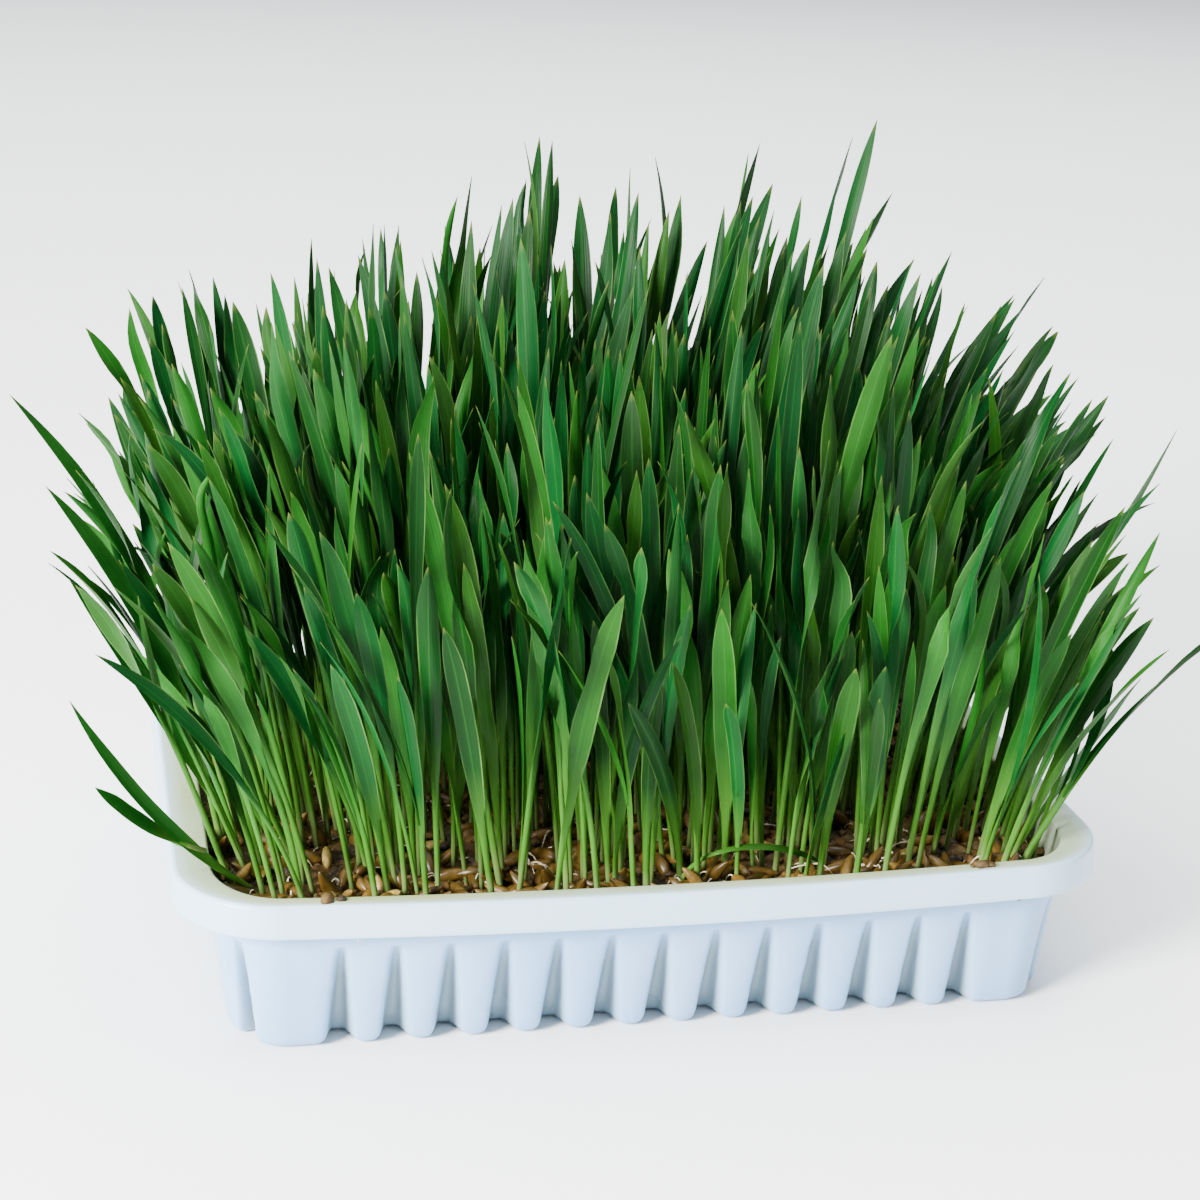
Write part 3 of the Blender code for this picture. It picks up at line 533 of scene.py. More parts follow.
def grass_material(grass):
    """Leaf and stem: pale foot, light stem, then green with fine veins, a midrib and lighter margins."""
    material, tree, shader = new_material("wheat_leaf", 0.46, 0.13)
    along = attribute(tree, "along")
    across = attribute(tree, "across")
    tone = attribute(tree, "tone")
    deep, fresh, stalk, pale = (tuple(c) for c in (grass.deep, grass.fresh, grass.stalk, grass.pale))
    blue = (deep[0] * 0.5, deep[1] * 1.25, deep[2] * 3.2)
    olive, dry_tip, sunlit = (0.016, 0.070, 0.0040), (0.15, 0.19, 0.03), (0.050, 0.195, 0.016)
    leaf = ramp(tree, tone, [(0.0, blue), (0.20, deep), (0.36, shade(blue, 1.7)), (0.50, olive),
                             (0.66, shade(deep, 2.8)), (0.85, fresh), (1.0, shade(fresh, 1.2))])
    patch = noise_texture(tree, 70.0, 3.0)
    leaf = blend(tree, ramp(tree, patch, [(0.3, 0.45), (0.7, 0.0)]), leaf, shade(deep, 0.6))
    side = maths(tree, "ABSOLUTE", across)
    leaf = blend(tree, ramp(tree, side, [(0.02, 0.30), (0.10, 0.0)]), leaf, shade(fresh, 1.3))
    one_side = ramp(tree, across, [(0.84, 0.0), (0.93, 1.0)])
    edge = blend(tree, 0.4, one_side, ramp(tree, side, [(0.86, 0.0), (0.94, 1.0)]))
    edge = blend(tree, 1.0, edge, ramp(tree, patch, [(0.35, 0.05), (0.65, 0.65)]), "MULTIPLY")
    leaf = blend(tree, edge, leaf, tuple(grass.margin))
    vein = ridges(tree, across, 24.0)
    leaf = blend(tree, ramp(tree, vein, [(0.0, 0.10), (1.0, 0.0)]), leaf, shade(deep, 0.5))
    stem = blend(tree, ramp(tree, tone, [(0.2, 0.0), (0.9, 0.6)]), stalk, shade(stalk, 1.35))
    colour = blend(tree, ramp(tree, along, [(0.12, 1.0), (0.46, 0.0)]), leaf, stem)
    colour = blend(tree, ramp(tree, along, [(0.01, 1.0), (0.11, 0.0)]), colour, pale)
    colour = blend(tree, ramp(tree, along, [(0.965, 0.0), (1.0, 0.5)]), colour, dry_tip)
    fine = noise_texture(tree, 900.0, 2.0, stretch=(1.0, 1.0, 0.12))
    height = blend(tree, 0.35, vein, fine)
    roughness = ramp(tree, patch, [(0.3, 0.40), (0.7, 0.54)])
    connect(tree, shader, colour, roughness, bump(tree, height, 0.30, 0.00012))

    # Light that passes through the thin leaf
    through = add_node(tree, "ShaderNodeBsdfTranslucent", {"Color": blend(tree, 0.40, colour, sunlit)})
    mixed = add_node(tree, "ShaderNodeMixShader", {"Fac": 0.26, 1: shader.outputs[0], 2: through.outputs[0]})
    output = tree.nodes["Material Output"]
    tree.links.new(mixed.outputs[0], output.inputs["Surface"])
    return material


def floor_material(stage):
    """Pale matt board with the faintest mottle."""
    material, tree, shader = new_material("pale_floor", 0.85, 0.2)
    colour = tuple(stage.floor)
    cloud = noise_texture(tree, 9.0, 2.0)
    connect(tree, shader, ramp(tree, cloud, [(0.3, shade(colour, 0.985)), (0.7, colour)]))
    return material


# Tray


def outline(places, inset, bow=0.0, ends=0.0):
    """Points at places round the rim's outline, moved in by inset, with the long sides bowed out by bow
    and the short sides drawn in by ends."""
    places = np.asarray(places) % LAP
    inset = np.broadcast_to(inset, places.shape)
    points = np.zeros((len(places), 2))
    start = 0.0
    for side in range(4):
        length, other = (SIDE_X, SIDE_Y) if side % 2 == 0 else (SIDE_Y, SIDE_X)
        angle = side * math.pi / 2
        turn = np.array([[math.cos(angle), -math.sin(angle)], [math.sin(angle), math.cos(angle)]])
        on_side = (places >= start) & (places < start + length)
        along = places[on_side] - start - length / 2
        belly = bow * (1 - (2 * along / length) ** 2) if side % 2 == 0 else 0.0
        points[on_side] = np.stack([along, inset[on_side] - other / 2 - RIM_CORNER - belly], axis=1) @ turn.T
        start += length
        on_corner = (places >= start) & (places < start + ARC)
        bend = (places[on_corner] - start) / RIM_CORNER
        reach = RIM_CORNER - inset[on_corner]
        corner = np.stack([length / 2 + reach * np.sin(bend), -other / 2 - reach * np.cos(bend)], axis=1)
        points[on_corner] = corner @ turn.T
        start += ARC
    past = np.maximum(np.abs(points[:, 0]) - SIDE_X / 2, 0.0)
    points[:, 0] -= np.sign(points[:, 0]) * past * ends / (RIM_CORNER - inset)
    return points


def off_groove(places):
    """How far each place is from the centre of the nearest groove."""
    nearest = np.full(len(places), 1.0)
    start = 0.0
    for side in range(4):
        length = SIDE_X if side % 2 == 0 else SIDE_Y
        for index in range(GROOVES[side % 2]):
            centre = start + length / 2 + (index - (GROOVES[side % 2] - 1) / 2) * GROOVE_PITCH
            nearest = np.minimum(nearest, np.abs(places - centre))
        start += length + ARC
        nearest = np.minimum(nearest, np.abs(places - start + ARC / 2) * CORNER_SHARE)
    return nearest


def clamp(share):
    """A share kept between 0 and 1."""
    return min(1.0, max(0.0, share))


def smooth(share):
    """A smooth step from 0 to 1."""
    share = np.clip(share, 0.0, 1.0)
    return share * share * (3 - 2 * share)


def groove_share(height):
    """How far down the grooves a height is, as a share of their length."""
    return clamp((GROOVE_TOP - height) / (GROOVE_TOP - GROOVE_FOOT))


def groove_dip(places, height):
    """How deep the grooves are at each place at a height."""
    down = groove_share(height)
    mouth = (GROOVE_MOUTH[0] + (GROOVE_MOUTH[1] - GROOVE_MOUTH[0]) * down) / 2 + foot_curve(height)
    floor = (GROOVE_FLOOR[0] + (GROOVE_FLOOR[1] - GROOVE_FLOOR[0]) * down) / 2
    off = off_groove(places)
    crown = CROWN * np.clip(1 - off / (GROOVE_PITCH / 2), 0, 1) ** 2
    dip = GROOVE_DEPTH * smooth((mouth - off) / (mouth - floor))
    return np.maximum(dip, crown) * down ** 0.5


def foot_curve(height):
    """How far the round foot of the wall stands in at a height."""
    low = min(height / FOOT_ROUND, 1.0)
    return FOOT_ROUND * (1 - math.sqrt(1 - (1 - low) ** 2))


def pushed(points, distance):
    """A closed loop moved in by a distance, square to itself."""
    step = np.roll(points, -1, axis=0) - np.roll(points, 1, axis=0)
    step /= np.linalg.norm(step, axis=1, keepdims=True)
    return points + np.stack([-step[:, 1], step[:, 0]], axis=1) * distance


def wall_at(height):
    """The wall's inset, its bow and its ends' inset at a height."""
    heights, *columns = zip(
        (0.0, WALL_FOOT_INSET, 0.0, END_FOOT_INSET),
        (GROOVE_FOOT, WALL_FOOT_INSET, 0.0, END_FOOT_INSET),
        (MIDDLE_HEIGHT, WALL_GROOVE_INSET, WALL_GROOVE_BOW, END_GROOVE_INSET),
        (RIM_TOP, WALL_TOP_INSET, WALL_TOP_BOW, END_TOP_INSET),
    )
    return [np.interp(height, heights, column) for column in columns]


def tray_loops(tray):
    """The tray's loops from the underside, up the outside, over the rim and down to the inner floor."""
    places = np.arange(0, LAP, LAP / round(LAP / tray.step))
    wall = tray.wall
    loops = []

    def add(points, height):
        """One more loop, level at the height."""
        loops.append(np.column_stack([points, np.full(len(points), height)]))

    def fluted(height, inward=0.0):
        """The wall's loop at a height with its grooves, moved in by a distance."""
        inset, bow, ends = wall_at(height)
        inset = inset + groove_dip(places, height) + foot_curve(height)
        return pushed(outline(places, inset, bow, ends), inward)

    flat = WALL_FOOT_INSET + GROOVE_DEPTH + FLOOR_MARGIN
    add(outline(places, flat, 0.0, END_FOOT_INSET), 0.0)
    for turn in np.linspace(0, math.pi / 2, 8):
        height = FOOT_ROUND * (1 - math.cos(turn))
        add(fluted(height), height)
    for height in np.linspace(FOOT_ROUND, EVEN_TOP, 13)[1:]:
        add(fluted(height), height)
    for height in OUTER_HEIGHTS:
        add(fluted(height), height)

    # Under the rim, down the skirt's inner side, round its foot and up its outer side
    under = RIM_TOP - wall
    inset, bow, ends = wall_at(under)
    for out, down in UNDER_STEPS:
        add(outline(places, inset - out, bow, ends), under - down)
    add(outline(places, RIM_DRAFT + wall + CREASE_ROUND, RIM_BOW), under)
    add(outline(places, RIM_DRAFT + wall, RIM_BOW), under - CREASE_ROUND)
    skirt = RIM_TOP - SKIRT_DEPTH
    add(outline(places, wall + 2 * SKIRT_DRAFT, RIM_BOW), skirt + SKIRT_ROUND)
    for turn in np.linspace(0, math.pi, 5):
        add(outline(places, wall / 2 + wall / 2 * math.cos(turn), RIM_BOW),
            skirt + SKIRT_ROUND - SKIRT_ROUND * math.sin(turn))
    add(outline(places, SKIRT_DRAFT, RIM_BOW), skirt + SKIRT_BAND)

    # Over the rim and down into the tray
    for turn in np.linspace(0, math.pi / 2, 6):
        add(outline(places, RIM_DRAFT + RIM_ROUND * (1 - math.cos(turn)), RIM_BOW),
            RIM_TOP - RIM_ROUND * (1 - math.sin(turn)))
    add(outline(places, RIM_MIDDLE, (RIM_BOW + WALL_TOP_BOW) / 2, END_TOP_INSET / 2), RIM_TOP)
    for turn in np.linspace(0, math.pi / 2, 5):
        inset = WALL_TOP_INSET + wall - LIP_ROUND + LIP_ROUND * math.sin(turn)
        add(outline(places, inset, WALL_TOP_BOW, END_TOP_INSET), RIM_TOP - LIP_ROUND * (1 - math.cos(turn)))
    for height in INNER_HEIGHTS:
        inset, bow, ends = wall_at(height)
        add(pushed(outline(places, inset + groove_dip(places, height - INNER_LIFT), bow, ends), wall), height)
    for height in np.linspace(INNER_HEIGHTS[-1], INNER_FLOOR_HEIGHT, 8)[1:]:
        add(fluted(height, wall), height)
    for turn in np.linspace(math.pi / 2, 0, 4)[1:]:
        height = wall + INNER_ROUND * (1 - math.cos(turn))
        add(fluted(height, wall + INNER_ROUND * (1 - math.sin(turn))), height)
    add(outline(places, flat + wall, 0.0, END_FOOT_INSET), wall)
    return loops


def build_tray(tray):
    """The tray, with the rim, the inner side and the grooves marked for the painted light, reflection and
    shade of its material.
    """
    loops = tray_loops(tray)
    count = len(loops[0])
    heights = np.array([loop[0, 2] for loop in loops])
    order = np.arange(len(loops))
    top = int(np.argmax(heights >= RIM_TOP - 1e-6))
    under = int(np.argmax(heights >= RIM_TOP - tray.wall - 1e-6))
    rim = np.where(order >= under, 1.0, 0.0)
    inner = np.where(order > top, 1.0, np.where(order == top, 0.5, 0.0))
    places = np.arange(count) * LAP / count
    dips = [groove_dip(places, height) / GROOVE_DEPTH if row < under else np.zeros(count)
            for row, height in enumerate(heights)]
    layers = {"rim": np.repeat(rim, count), "inner": np.repeat(inner, count),
              "groove": np.concatenate(dips)}
    faces = loft(count, len(loops))
    faces.append(tuple(range(count))[::-1])
    last = (len(loops) - 1) * count
    faces.append(tuple(range(last, last + count)))
    piece = add_piece("tray_fluted", np.concatenate(loops).tolist(), faces, plastic_material(tray), layers)
    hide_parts("tray")


# Soil


def soil_height(x, y, soil):
    """The lumpy top of the bed: broad lumps, broken into crumbs."""
    broad = noise.noise(Vector((x * LUMP_PITCH, y * LUMP_PITCH, 1.7)))
    size = soil.crumb
    distances, _ = noise.voronoi(Vector((x / size, y / size, 0.3)))
    crumb = max(0.0, 1 - distances[0] * 1.25)
    fine = noise.noise(Vector((x * GRAIN_PITCH, y * GRAIN_PITCH, 4.1)))
    return SOIL_TOP + soil.lump * broad + CRUMB_RISE * (crumb - 0.5) + GRAIN_RISE * fine


def build_soil(soil):
    """The bed: a side that stands off the wall, and rings of lumps and crumbs towards its middle."""
    places = np.arange(0, LAP, LAP / SOIL_PLACES)
    foot = outline(places, WALL_FOOT_INSET + GROOVE_DEPTH + SOIL_GAP + SOIL_FOOT, 0.0, END_FOOT_INSET)
    rows = [np.column_stack([foot, np.full(SOIL_PLACES, SOIL_FOOT)])]
    for height in SOIL_HEIGHTS:
        inset, bow, ends = wall_at(height)
        inset = inset + SOIL_GAP + GROOVE_DEPTH * groove_share(height) ** 0.5
        rows.append(np.column_stack([outline(places, inset, bow, ends), np.full(SOIL_PLACES, height)]))
    inset, bow, ends = wall_at(SOIL_TOP)
    edge = outline(places, inset + SOIL_GAP - SOIL_LIP, bow, ends)
    for ring in range(SOIL_RINGS):
        share = 1 - (ring / SOIL_RINGS) ** 1.25
        spots = edge * share
        top = [soil_height(x, y, soil) for x, y in spots]
        rows.append(np.column_stack([spots, top]))
    points = np.concatenate(rows)
    count = len(places)
    faces = loft(count, len(rows))
    faces.append(tuple(range(count))[::-1])
    points = np.vstack([points, [0, 0, SOIL_TOP]])
    last = (len(rows) - 1) * count
    faces += fan(last, count, len(points) - 1)
    earth = soil_material(soil)
    tone = [noise.noise(Vector((x * 260, y * 260, 8.2))) for x, y, _ in points]
    bed = add_piece("soil_bed", points.tolist(), faces, earth, {"tone": tone})
    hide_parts("soil")
    scatter_crumbs(soil, earth)


def inside_bed(draw, margin):
    """A random spot on the soil, at least the margin from the wall."""
    half_x = RIM_LENGTH / 2 - WALL_TOP_INSET - END_TOP_INSET - SOIL_END - margin
    half_y = RIM_WIDTH / 2 - WALL_TOP_INSET - margin
    while True:
        x, y = draw.uniform(-half_x, half_x), draw.uniform(-half_y, half_y)
        corner = RIM_CORNER - WALL_TOP_INSET - margin
        dx, dy = abs(x) - (half_x - corner), abs(y) - (half_y - corner)
        if dx <= 0 or dy <= 0 or math.hypot(dx, dy) < corner:
            return x, y


def crumb_shape():
    """The points and faces of a ball with twelve points, and of a finer one."""
    shapes = []
    for level in (1, 2):
        mesh = bmesh.new()
        bmesh.ops.create_icosphere(mesh, subdivisions=level, radius=1.0)
        mesh.verts.ensure_lookup_table()
        faces = [tuple(v.index for v in face.verts) for face in mesh.faces]
        shapes.append((np.array([v.co for v in mesh.verts]), faces))
        mesh.free()
    return shapes


def scatter_crumbs(soil, material):
    """Loose crumbs that lie on the bed, each a ball pushed out of round."""
    draw = random.Random(31)
    rough, fine = crumb_shape()
    points, faces, tones = [], [], []
    for number in range(soil.crumbs):
        size = SMALL_CRUMB + CRUMB_SPREAD * draw.random() ** 2.2
        x, y = inside_bed(draw, CRUMB_MARGIN)
        height = soil_height(x, y, soil)
        if number < len(RIM_CRUMBS):
            x, y, size = RIM_CRUMBS[number]
            height = RIM_TOP
        ball, sides = fine if size > FINE_CRUMB else rough
        shift = Vector((draw.uniform(0, 90), draw.uniform(0, 90), 0))
        push = np.array([1 + 0.55 * noise.noise(Vector(p) * 1.3 + shift) for p in ball])
        stretch = np.array([draw.uniform(0.8, 1.3), draw.uniform(0.8, 1.3), draw.uniform(0.6, 0.9)])
        place = np.array([x, y, height + size * 0.35])
        points.append(ball * push[:, None] * stretch * size + place)
        faces += moved(sides, len(tones))
        tones += [draw.random() ** 1.5] * len(ball)
    piece = add_piece("soil_crumbs", np.concatenate(points).tolist(), faces, material, {"tone": tones})


# Kernels and rootlets


def turned(axis, roll):
    """Three unit vectors: the axis, and two square to it, turned round it by the roll."""
    axis = Vector(axis).normalized()
    side = axis.orthogonal().normalized()
    up = axis.cross(side)
    first = side * math.cos(roll) + up * math.sin(roll)
    return np.array(axis), np.array(first), np.array(axis.cross(first))


def kernel_points(soil, centre, axis, roll, scale):
    """One kernel: a plump spindle with a crease along one side, blunt at its germ."""
    along, side, up = turned(axis, roll)
    rings, sides = 10, 12
    points = [centre - along * soil.kernel_length / 2 * scale]
    for ring in range(rings):
        t = (ring + 0.5) / rings
        fat = (math.sin(math.pi * t ** 0.82)) ** 0.62 * (1 - 0.16 * t)
        for index in range(sides):
            angle = math.tau * index / sides
            crease = 0.30 * math.exp(-((angle - math.pi) / 0.42) ** 2)
            radius = soil.kernel_width / 2 * scale * fat * (1 - crease)
            bend = 0.05 * math.sin(math.pi * t) * soil.kernel_length
            points.append(centre + along * (t - 0.5) * soil.kernel_length * scale + side * (
                radius * math.cos(angle) + bend) + up * radius * math.sin(angle) * 0.86)
    points.append(centre + along * soil.kernel_length / 2 * scale)
    faces = [face[::-1] for face in fan(1, sides, 0)]
    faces += moved(loft(sides, rings), 1)
    faces += fan(1 + (rings - 1) * sides, sides, len(points) - 1)
    turn = [0.0] + [i / sides for _ in range(rings) for i in range(sides)] + [0.0]
    length = [0.0] + [(r + 0.5) / rings for r in range(rings) for _ in range(sides)] + [1.0]
    return points, faces, length, turn


def build_kernels(soil):
    """The kernels on the soil, lying or steep, and rootlets from half of them."""
    draw = random.Random(77)
    points, faces = [], []
    layers = {"along": [], "around": [], "tone": []}
    rooted = []
    for number in range(soil.kernels):
        x, y = inside_bed(draw, KERNEL_MARGIN)
        if number % FRONT_KERNEL == 0:
            y = -RIM_WIDTH / 2 + draw.uniform(*FRONT_STRIP)
            x = draw.uniform(-STRIP_HALF, STRIP_HALF)
        heading = draw.uniform(0, math.tau)
        tilt = draw.gauss(0.12, 0.28) if draw.random() < LYING_SHARE else draw.uniform(*STEEP_TILT)
        axis = (math.cos(heading) * math.cos(tilt), math.sin(heading) * math.cos(tilt), math.sin(tilt))
        scale = draw.uniform(0.84, 1.08)
        height = soil_height(x, y, soil) + KERNEL_REST + abs(math.sin(tilt)) * TILT_RISE
        height += draw.uniform(*REST_SPREAD)
        centre = np.array([x, y, height])
        spots, sides, length, turn = kernel_points(soil, centre, axis, draw.uniform(0, math.tau), scale)
        faces += moved(sides, len(points))
        points += spots
        layers["along"] += length
        layers["around"] += turn
        layers["tone"] += [clamp(draw.gauss(0.45, 0.27))] * len(spots)
        if draw.random() < ROOTED_SHARE:
            rooted.append((centre, Vector(axis)))
    husk = add_piece("kernels", np.array(points).tolist(), faces, kernel_material(soil), layers)
    grow_rootlets(rooted, draw)


def grow_rootlets(rooted, draw):
    """One to three thin roots from the germ of each kernel, arching over into the soil."""
    points, faces = [], []
    sides, rings = 5, 7
    for centre, axis in rooted:
        germ = Vector(centre) - axis * GERM
        for _ in range(draw.choice((1, 2, 3))):
            heading = draw.uniform(0, math.tau)
            reach = draw.uniform(*ROOTLET_REACH)
            rise = draw.uniform(*ROOTLET_RISE)
            end = germ + Vector((math.cos(heading) * reach, math.sin(heading) * reach, 0))
            end.z = SOIL_TOP - ROOTLET_DEPTH
            start = len(points)
            for ring in range(rings):
                t = ring / (rings - 1)
                middle = germ.lerp(end, t) + Vector((0, 0, rise * math.sin(math.pi * t)))
                radius = ROOTLET_RADIUS * (1 - 0.55 * t)
                across = Vector((-math.sin(heading), math.cos(heading), 0))
                for side in range(sides):
                    angle = math.tau * side / sides
                    rise_here = Vector((0, 0, radius * math.sin(angle)))
                    points.append(middle + across * radius * math.cos(angle) + rise_here)
            last = (rings - 1) * sides
            ends = [tuple(range(sides))[::-1], tuple(range(last, last + sides))]
            faces += moved(loft(sides, rings) + ends, start)
    piece = add_piece("rootlets", [tuple(point) for point in points], faces, root_material())


# Shoots


class Shoot:
    """One shoot: its middle line by shares of its length, its width and the way that it faces."""

    # Where the leaf opens and starts to close, and the stem's width
    opens, closes, stem = 0.12, 0.72, 0.00130
    # A curled tip, a sharp turn of the leaf and where it starts, and a waving leaf
    curl, wring, wrung, wave, phase = 0.0, 0.0, 0.5, 0.0, 0.0

    def __init__(self, curve, width, face, twist, tone, side=False):
        self.curve, self.width, self.face, self.twist = curve, width, face, twist
        self.tone, self.side = tone, side

    def middle(self, t):
        """Points on the middle line at an array of shares."""
        t = np.atleast_1d(t)
        powers = t[:, None] ** np.arange(4)
        points = powers @ self.curve
        bend = np.clip((t - 0.70) / 0.30, 0, 1) ** 2 * self.curl
        away = self.across(t)
        return points + np.column_stack([-away[:, 1] * bend, away[:, 0] * bend, -np.abs(bend) * 0.35])

    def across(self, t):
        """The level direction from one margin to the other."""
        t = np.atleast_1d(t)
        angle = self.face + self.twist * t + self.wring * smooth((t - self.wrung) / 0.30)
        angle = angle + self.wave * np.sin(t * 17 + self.phase)
        return np.column_stack([np.cos(angle), np.sin(angle), np.zeros(len(angle))])

    def in_box(self):
        """Whether the upper half stays within the box of the frame."""
        points = self.middle(np.linspace(0.5, 1.0, 8))
        low, high = np.array(CAD_BOX[0]), np.array(CAD_BOX[1])
        return bool(np.all(points > low) and np.all(points < high))

    def at_levels(self):
        """Middles and half widths as level lines at each of the fixed heights, and where it is there."""
        t = np.linspace(0, 1, 40)
        points = self.middle(t)
        real = (LEVELS >= points[0, 2] - 0.004) & (LEVELS < points[:, 2].max())
        order = np.argsort(points[:, 2])
        z = points[order, 2]
        middle = np.column_stack([np.interp(LEVELS, z, points[order, axis]) for axis in range(2)])
        share = np.interp(LEVELS, z, t[order])
        half = self.across(share)[:, :2] * (leaf_width(share, self) / 2)[:, None]
        return middle, half, real


def leaf_width(t, shoot):
    """The width along a shoot: the stem's, then a leaf that widens, keeps its width and comes to a point."""
    opening = smooth((t - shoot.opens) / WIDENING)
    closing = 1 - np.clip((t - shoot.closes) / (1 - shoot.closes), 0, 1) ** BLUNTNESS
    return (shoot.stem + (shoot.width - shoot.stem) * opening) * closing


def fitted_curve(shares, points):
    """The cubic through the points at their shares of the length."""
    return np.linalg.lstsq(np.array(shares)[:, None] ** np.arange(4), np.array(points), rcond=None)[0]


def curve_of(points):
    """The cubic with four control points, as powers of the share."""
    a, b, c, d = (np.array(point, dtype=float) for point in points)
    return np.array([a, 3 * (b - a), 3 * (a - 2 * b + c), d - a + 3 * (b - c)])


def linked(vertex):
    """The points at the other ends of a point's edges."""
    return {edge.other_vert(vertex) for edge in vertex.link_edges}


def in_order(vertices):
    """Points in the order of their mesh."""
    return sorted(vertices, key=lambda vertex: vertex.index)


def frame_shoots(node):
    """The shoots of a bunch in the frame, read ring by ring from the soil to the tip."""
    mesh = bmesh.new()
    mesh.from_mesh(node.data)
    bmesh.ops.remove_doubles(mesh, verts=mesh.verts, dist=1e-5)
    high = {v for v in mesh.verts if v.co.z > SOIL_TOP + LOWEST_RING}
    found = []
    seen = set()
    for vertex in in_order(high):
        if vertex in seen:
            continue
        group, queue = {vertex}, [vertex]
        while queue:
            for other in linked(queue.pop()):
                if other in high and other not in group:
                    group.add(other)
                    queue.append(other)
        seen |= group
        feet = {other for v in group for other in linked(v) if other not in high}
        layer = in_order(v for v in group if feet & linked(v))
        rings, used = [], set()
        while layer:
            rings.append([v.co.copy() for v in layer])
            used |= set(layer)
            above = {other for v in layer for other in linked(v) if other in group}
            layer = in_order(above - used)
        sizes = [len(ring) for ring in rings]
        root = [v.co for v in in_order(feet) if abs(v.co.z - SOIL_TOP) < ROOT_SLACK]
        if sizes in ([3, 3, 1], [3, 3, 3, 1]) and len(root) >= 3:
            found.append((sum(root, Vector()) / len(root), rings))
    mesh.free()
    return found


def margins(ring):
    """The two points of a section that are furthest apart."""
    pairs = [(0, 1), (1, 2), (2, 0)]
    a, b = max(pairs, key=lambda pair: (ring[pair[0]] - ring[pair[1]]).length)
    left, right = sorted((ring[a], ring[b]), key=lambda point: point.x)
    return left, right


def read_shoot(root, rings, grass, draw):
    """A shoot with the curve, width and facing of the frame's solid one."""
    shares = SHORT_BLADE if len(rings) == 3 else LONG_BLADE
    points = [root] + [sum(ring, Vector()) / len(ring) for ring in rings]
    angles = []
    for ring in rings[:-1]:
        left, right = margins(ring)
        angles.append(math.atan2(right.y - left.y, right.x - left.x))
    left, right = margins(rings[1])
    stem_share, leaf_share = shares[1:3]
    twist = (angles[1] - angles[0] + math.pi / 2) % math.pi - math.pi / 2
    twist /= leaf_share - stem_share
    twist = max(-1.4, min(1.4, twist))
    curve = fitted_curve(shares, points)
    sway = np.array([*(draw.gauss(0, spread) for spread in SWAY), 0.0])
    curve[1] += sway
    curve[2] -= sway
    shoot = Shoot(curve, (right - left).length * 0.85, angles[1] - twist * leaf_share, twist,
                  draw.gauss(0.45 - age_of(curve), 0.25))
    vary(shoot, grass, draw)
    return shoot


def vary(shoot, grass, draw):
    """Give a shoot its own stem width, opening and taper."""
    shoot.opens = opening_share(shoot.curve, draw)
    shoot.closes = draw.uniform(0.67, 0.83)
    shoot.stem = grass.stem * draw.uniform(0.70, 1.05)


def height_of(curve):
    """How high a shoot's tip stands over its root."""
    return curve[1:].sum(axis=0)[2]


def age_of(curve):
    """How much deeper the green of a tall shoot is."""
    return 0.22 * clamp((height_of(curve) - 0.075) / 0.045)


def opening_share(curve, draw):
    """Where a leaf opens: low on a short shoot, higher on a tall one and at the left of the tray."""
    left = 0.20 * clamp((-0.040 - curve[0][0]) / 0.030)
    return draw.uniform(0.02, 0.16) + left + 0.20 * clamp((height_of(curve) - 0.06) / 0.06)


class Stand:
    """All shoots placed so far, as level lines at fixed heights, to keep new ones from crossing them."""

    def __init__(self):
        self.middles, self.halves, self.reals = [], [], []

    def add(self, shoot):
        """Count a shoot among those that stand."""
        middle, half, real = shoot.at_levels()
        self.middles.append(middle)
        self.halves.append(half)
        self.reals.append(real)

    def crossings(self, shoot):
        """At how many levels the shoot would cross one that stands."""
        middle, half, real = shoot.at_levels()
        middles, halves, reals = np.array(self.middles), np.array(self.halves), np.array(self.reals)
        gap = middles - middle
        level = halves[..., 0] * half[:, 1] - halves[..., 1] * half[:, 0]
        level = np.where(np.abs(level) < 1e-12, 1e-12, level)
        s = (halves[..., 0] * gap[..., 1] - halves[..., 1] * gap[..., 0]) / level
        t = (half[:, 0] * gap[..., 1] - half[:, 1] * gap[..., 0]) / level
        close = np.hypot(gap[..., 0], gap[..., 1]) < CLOSEST
        met = ((np.abs(s) < 1.06) & (np.abs(t) < 1.06)) | close
        return int((met & reals & real).sum())


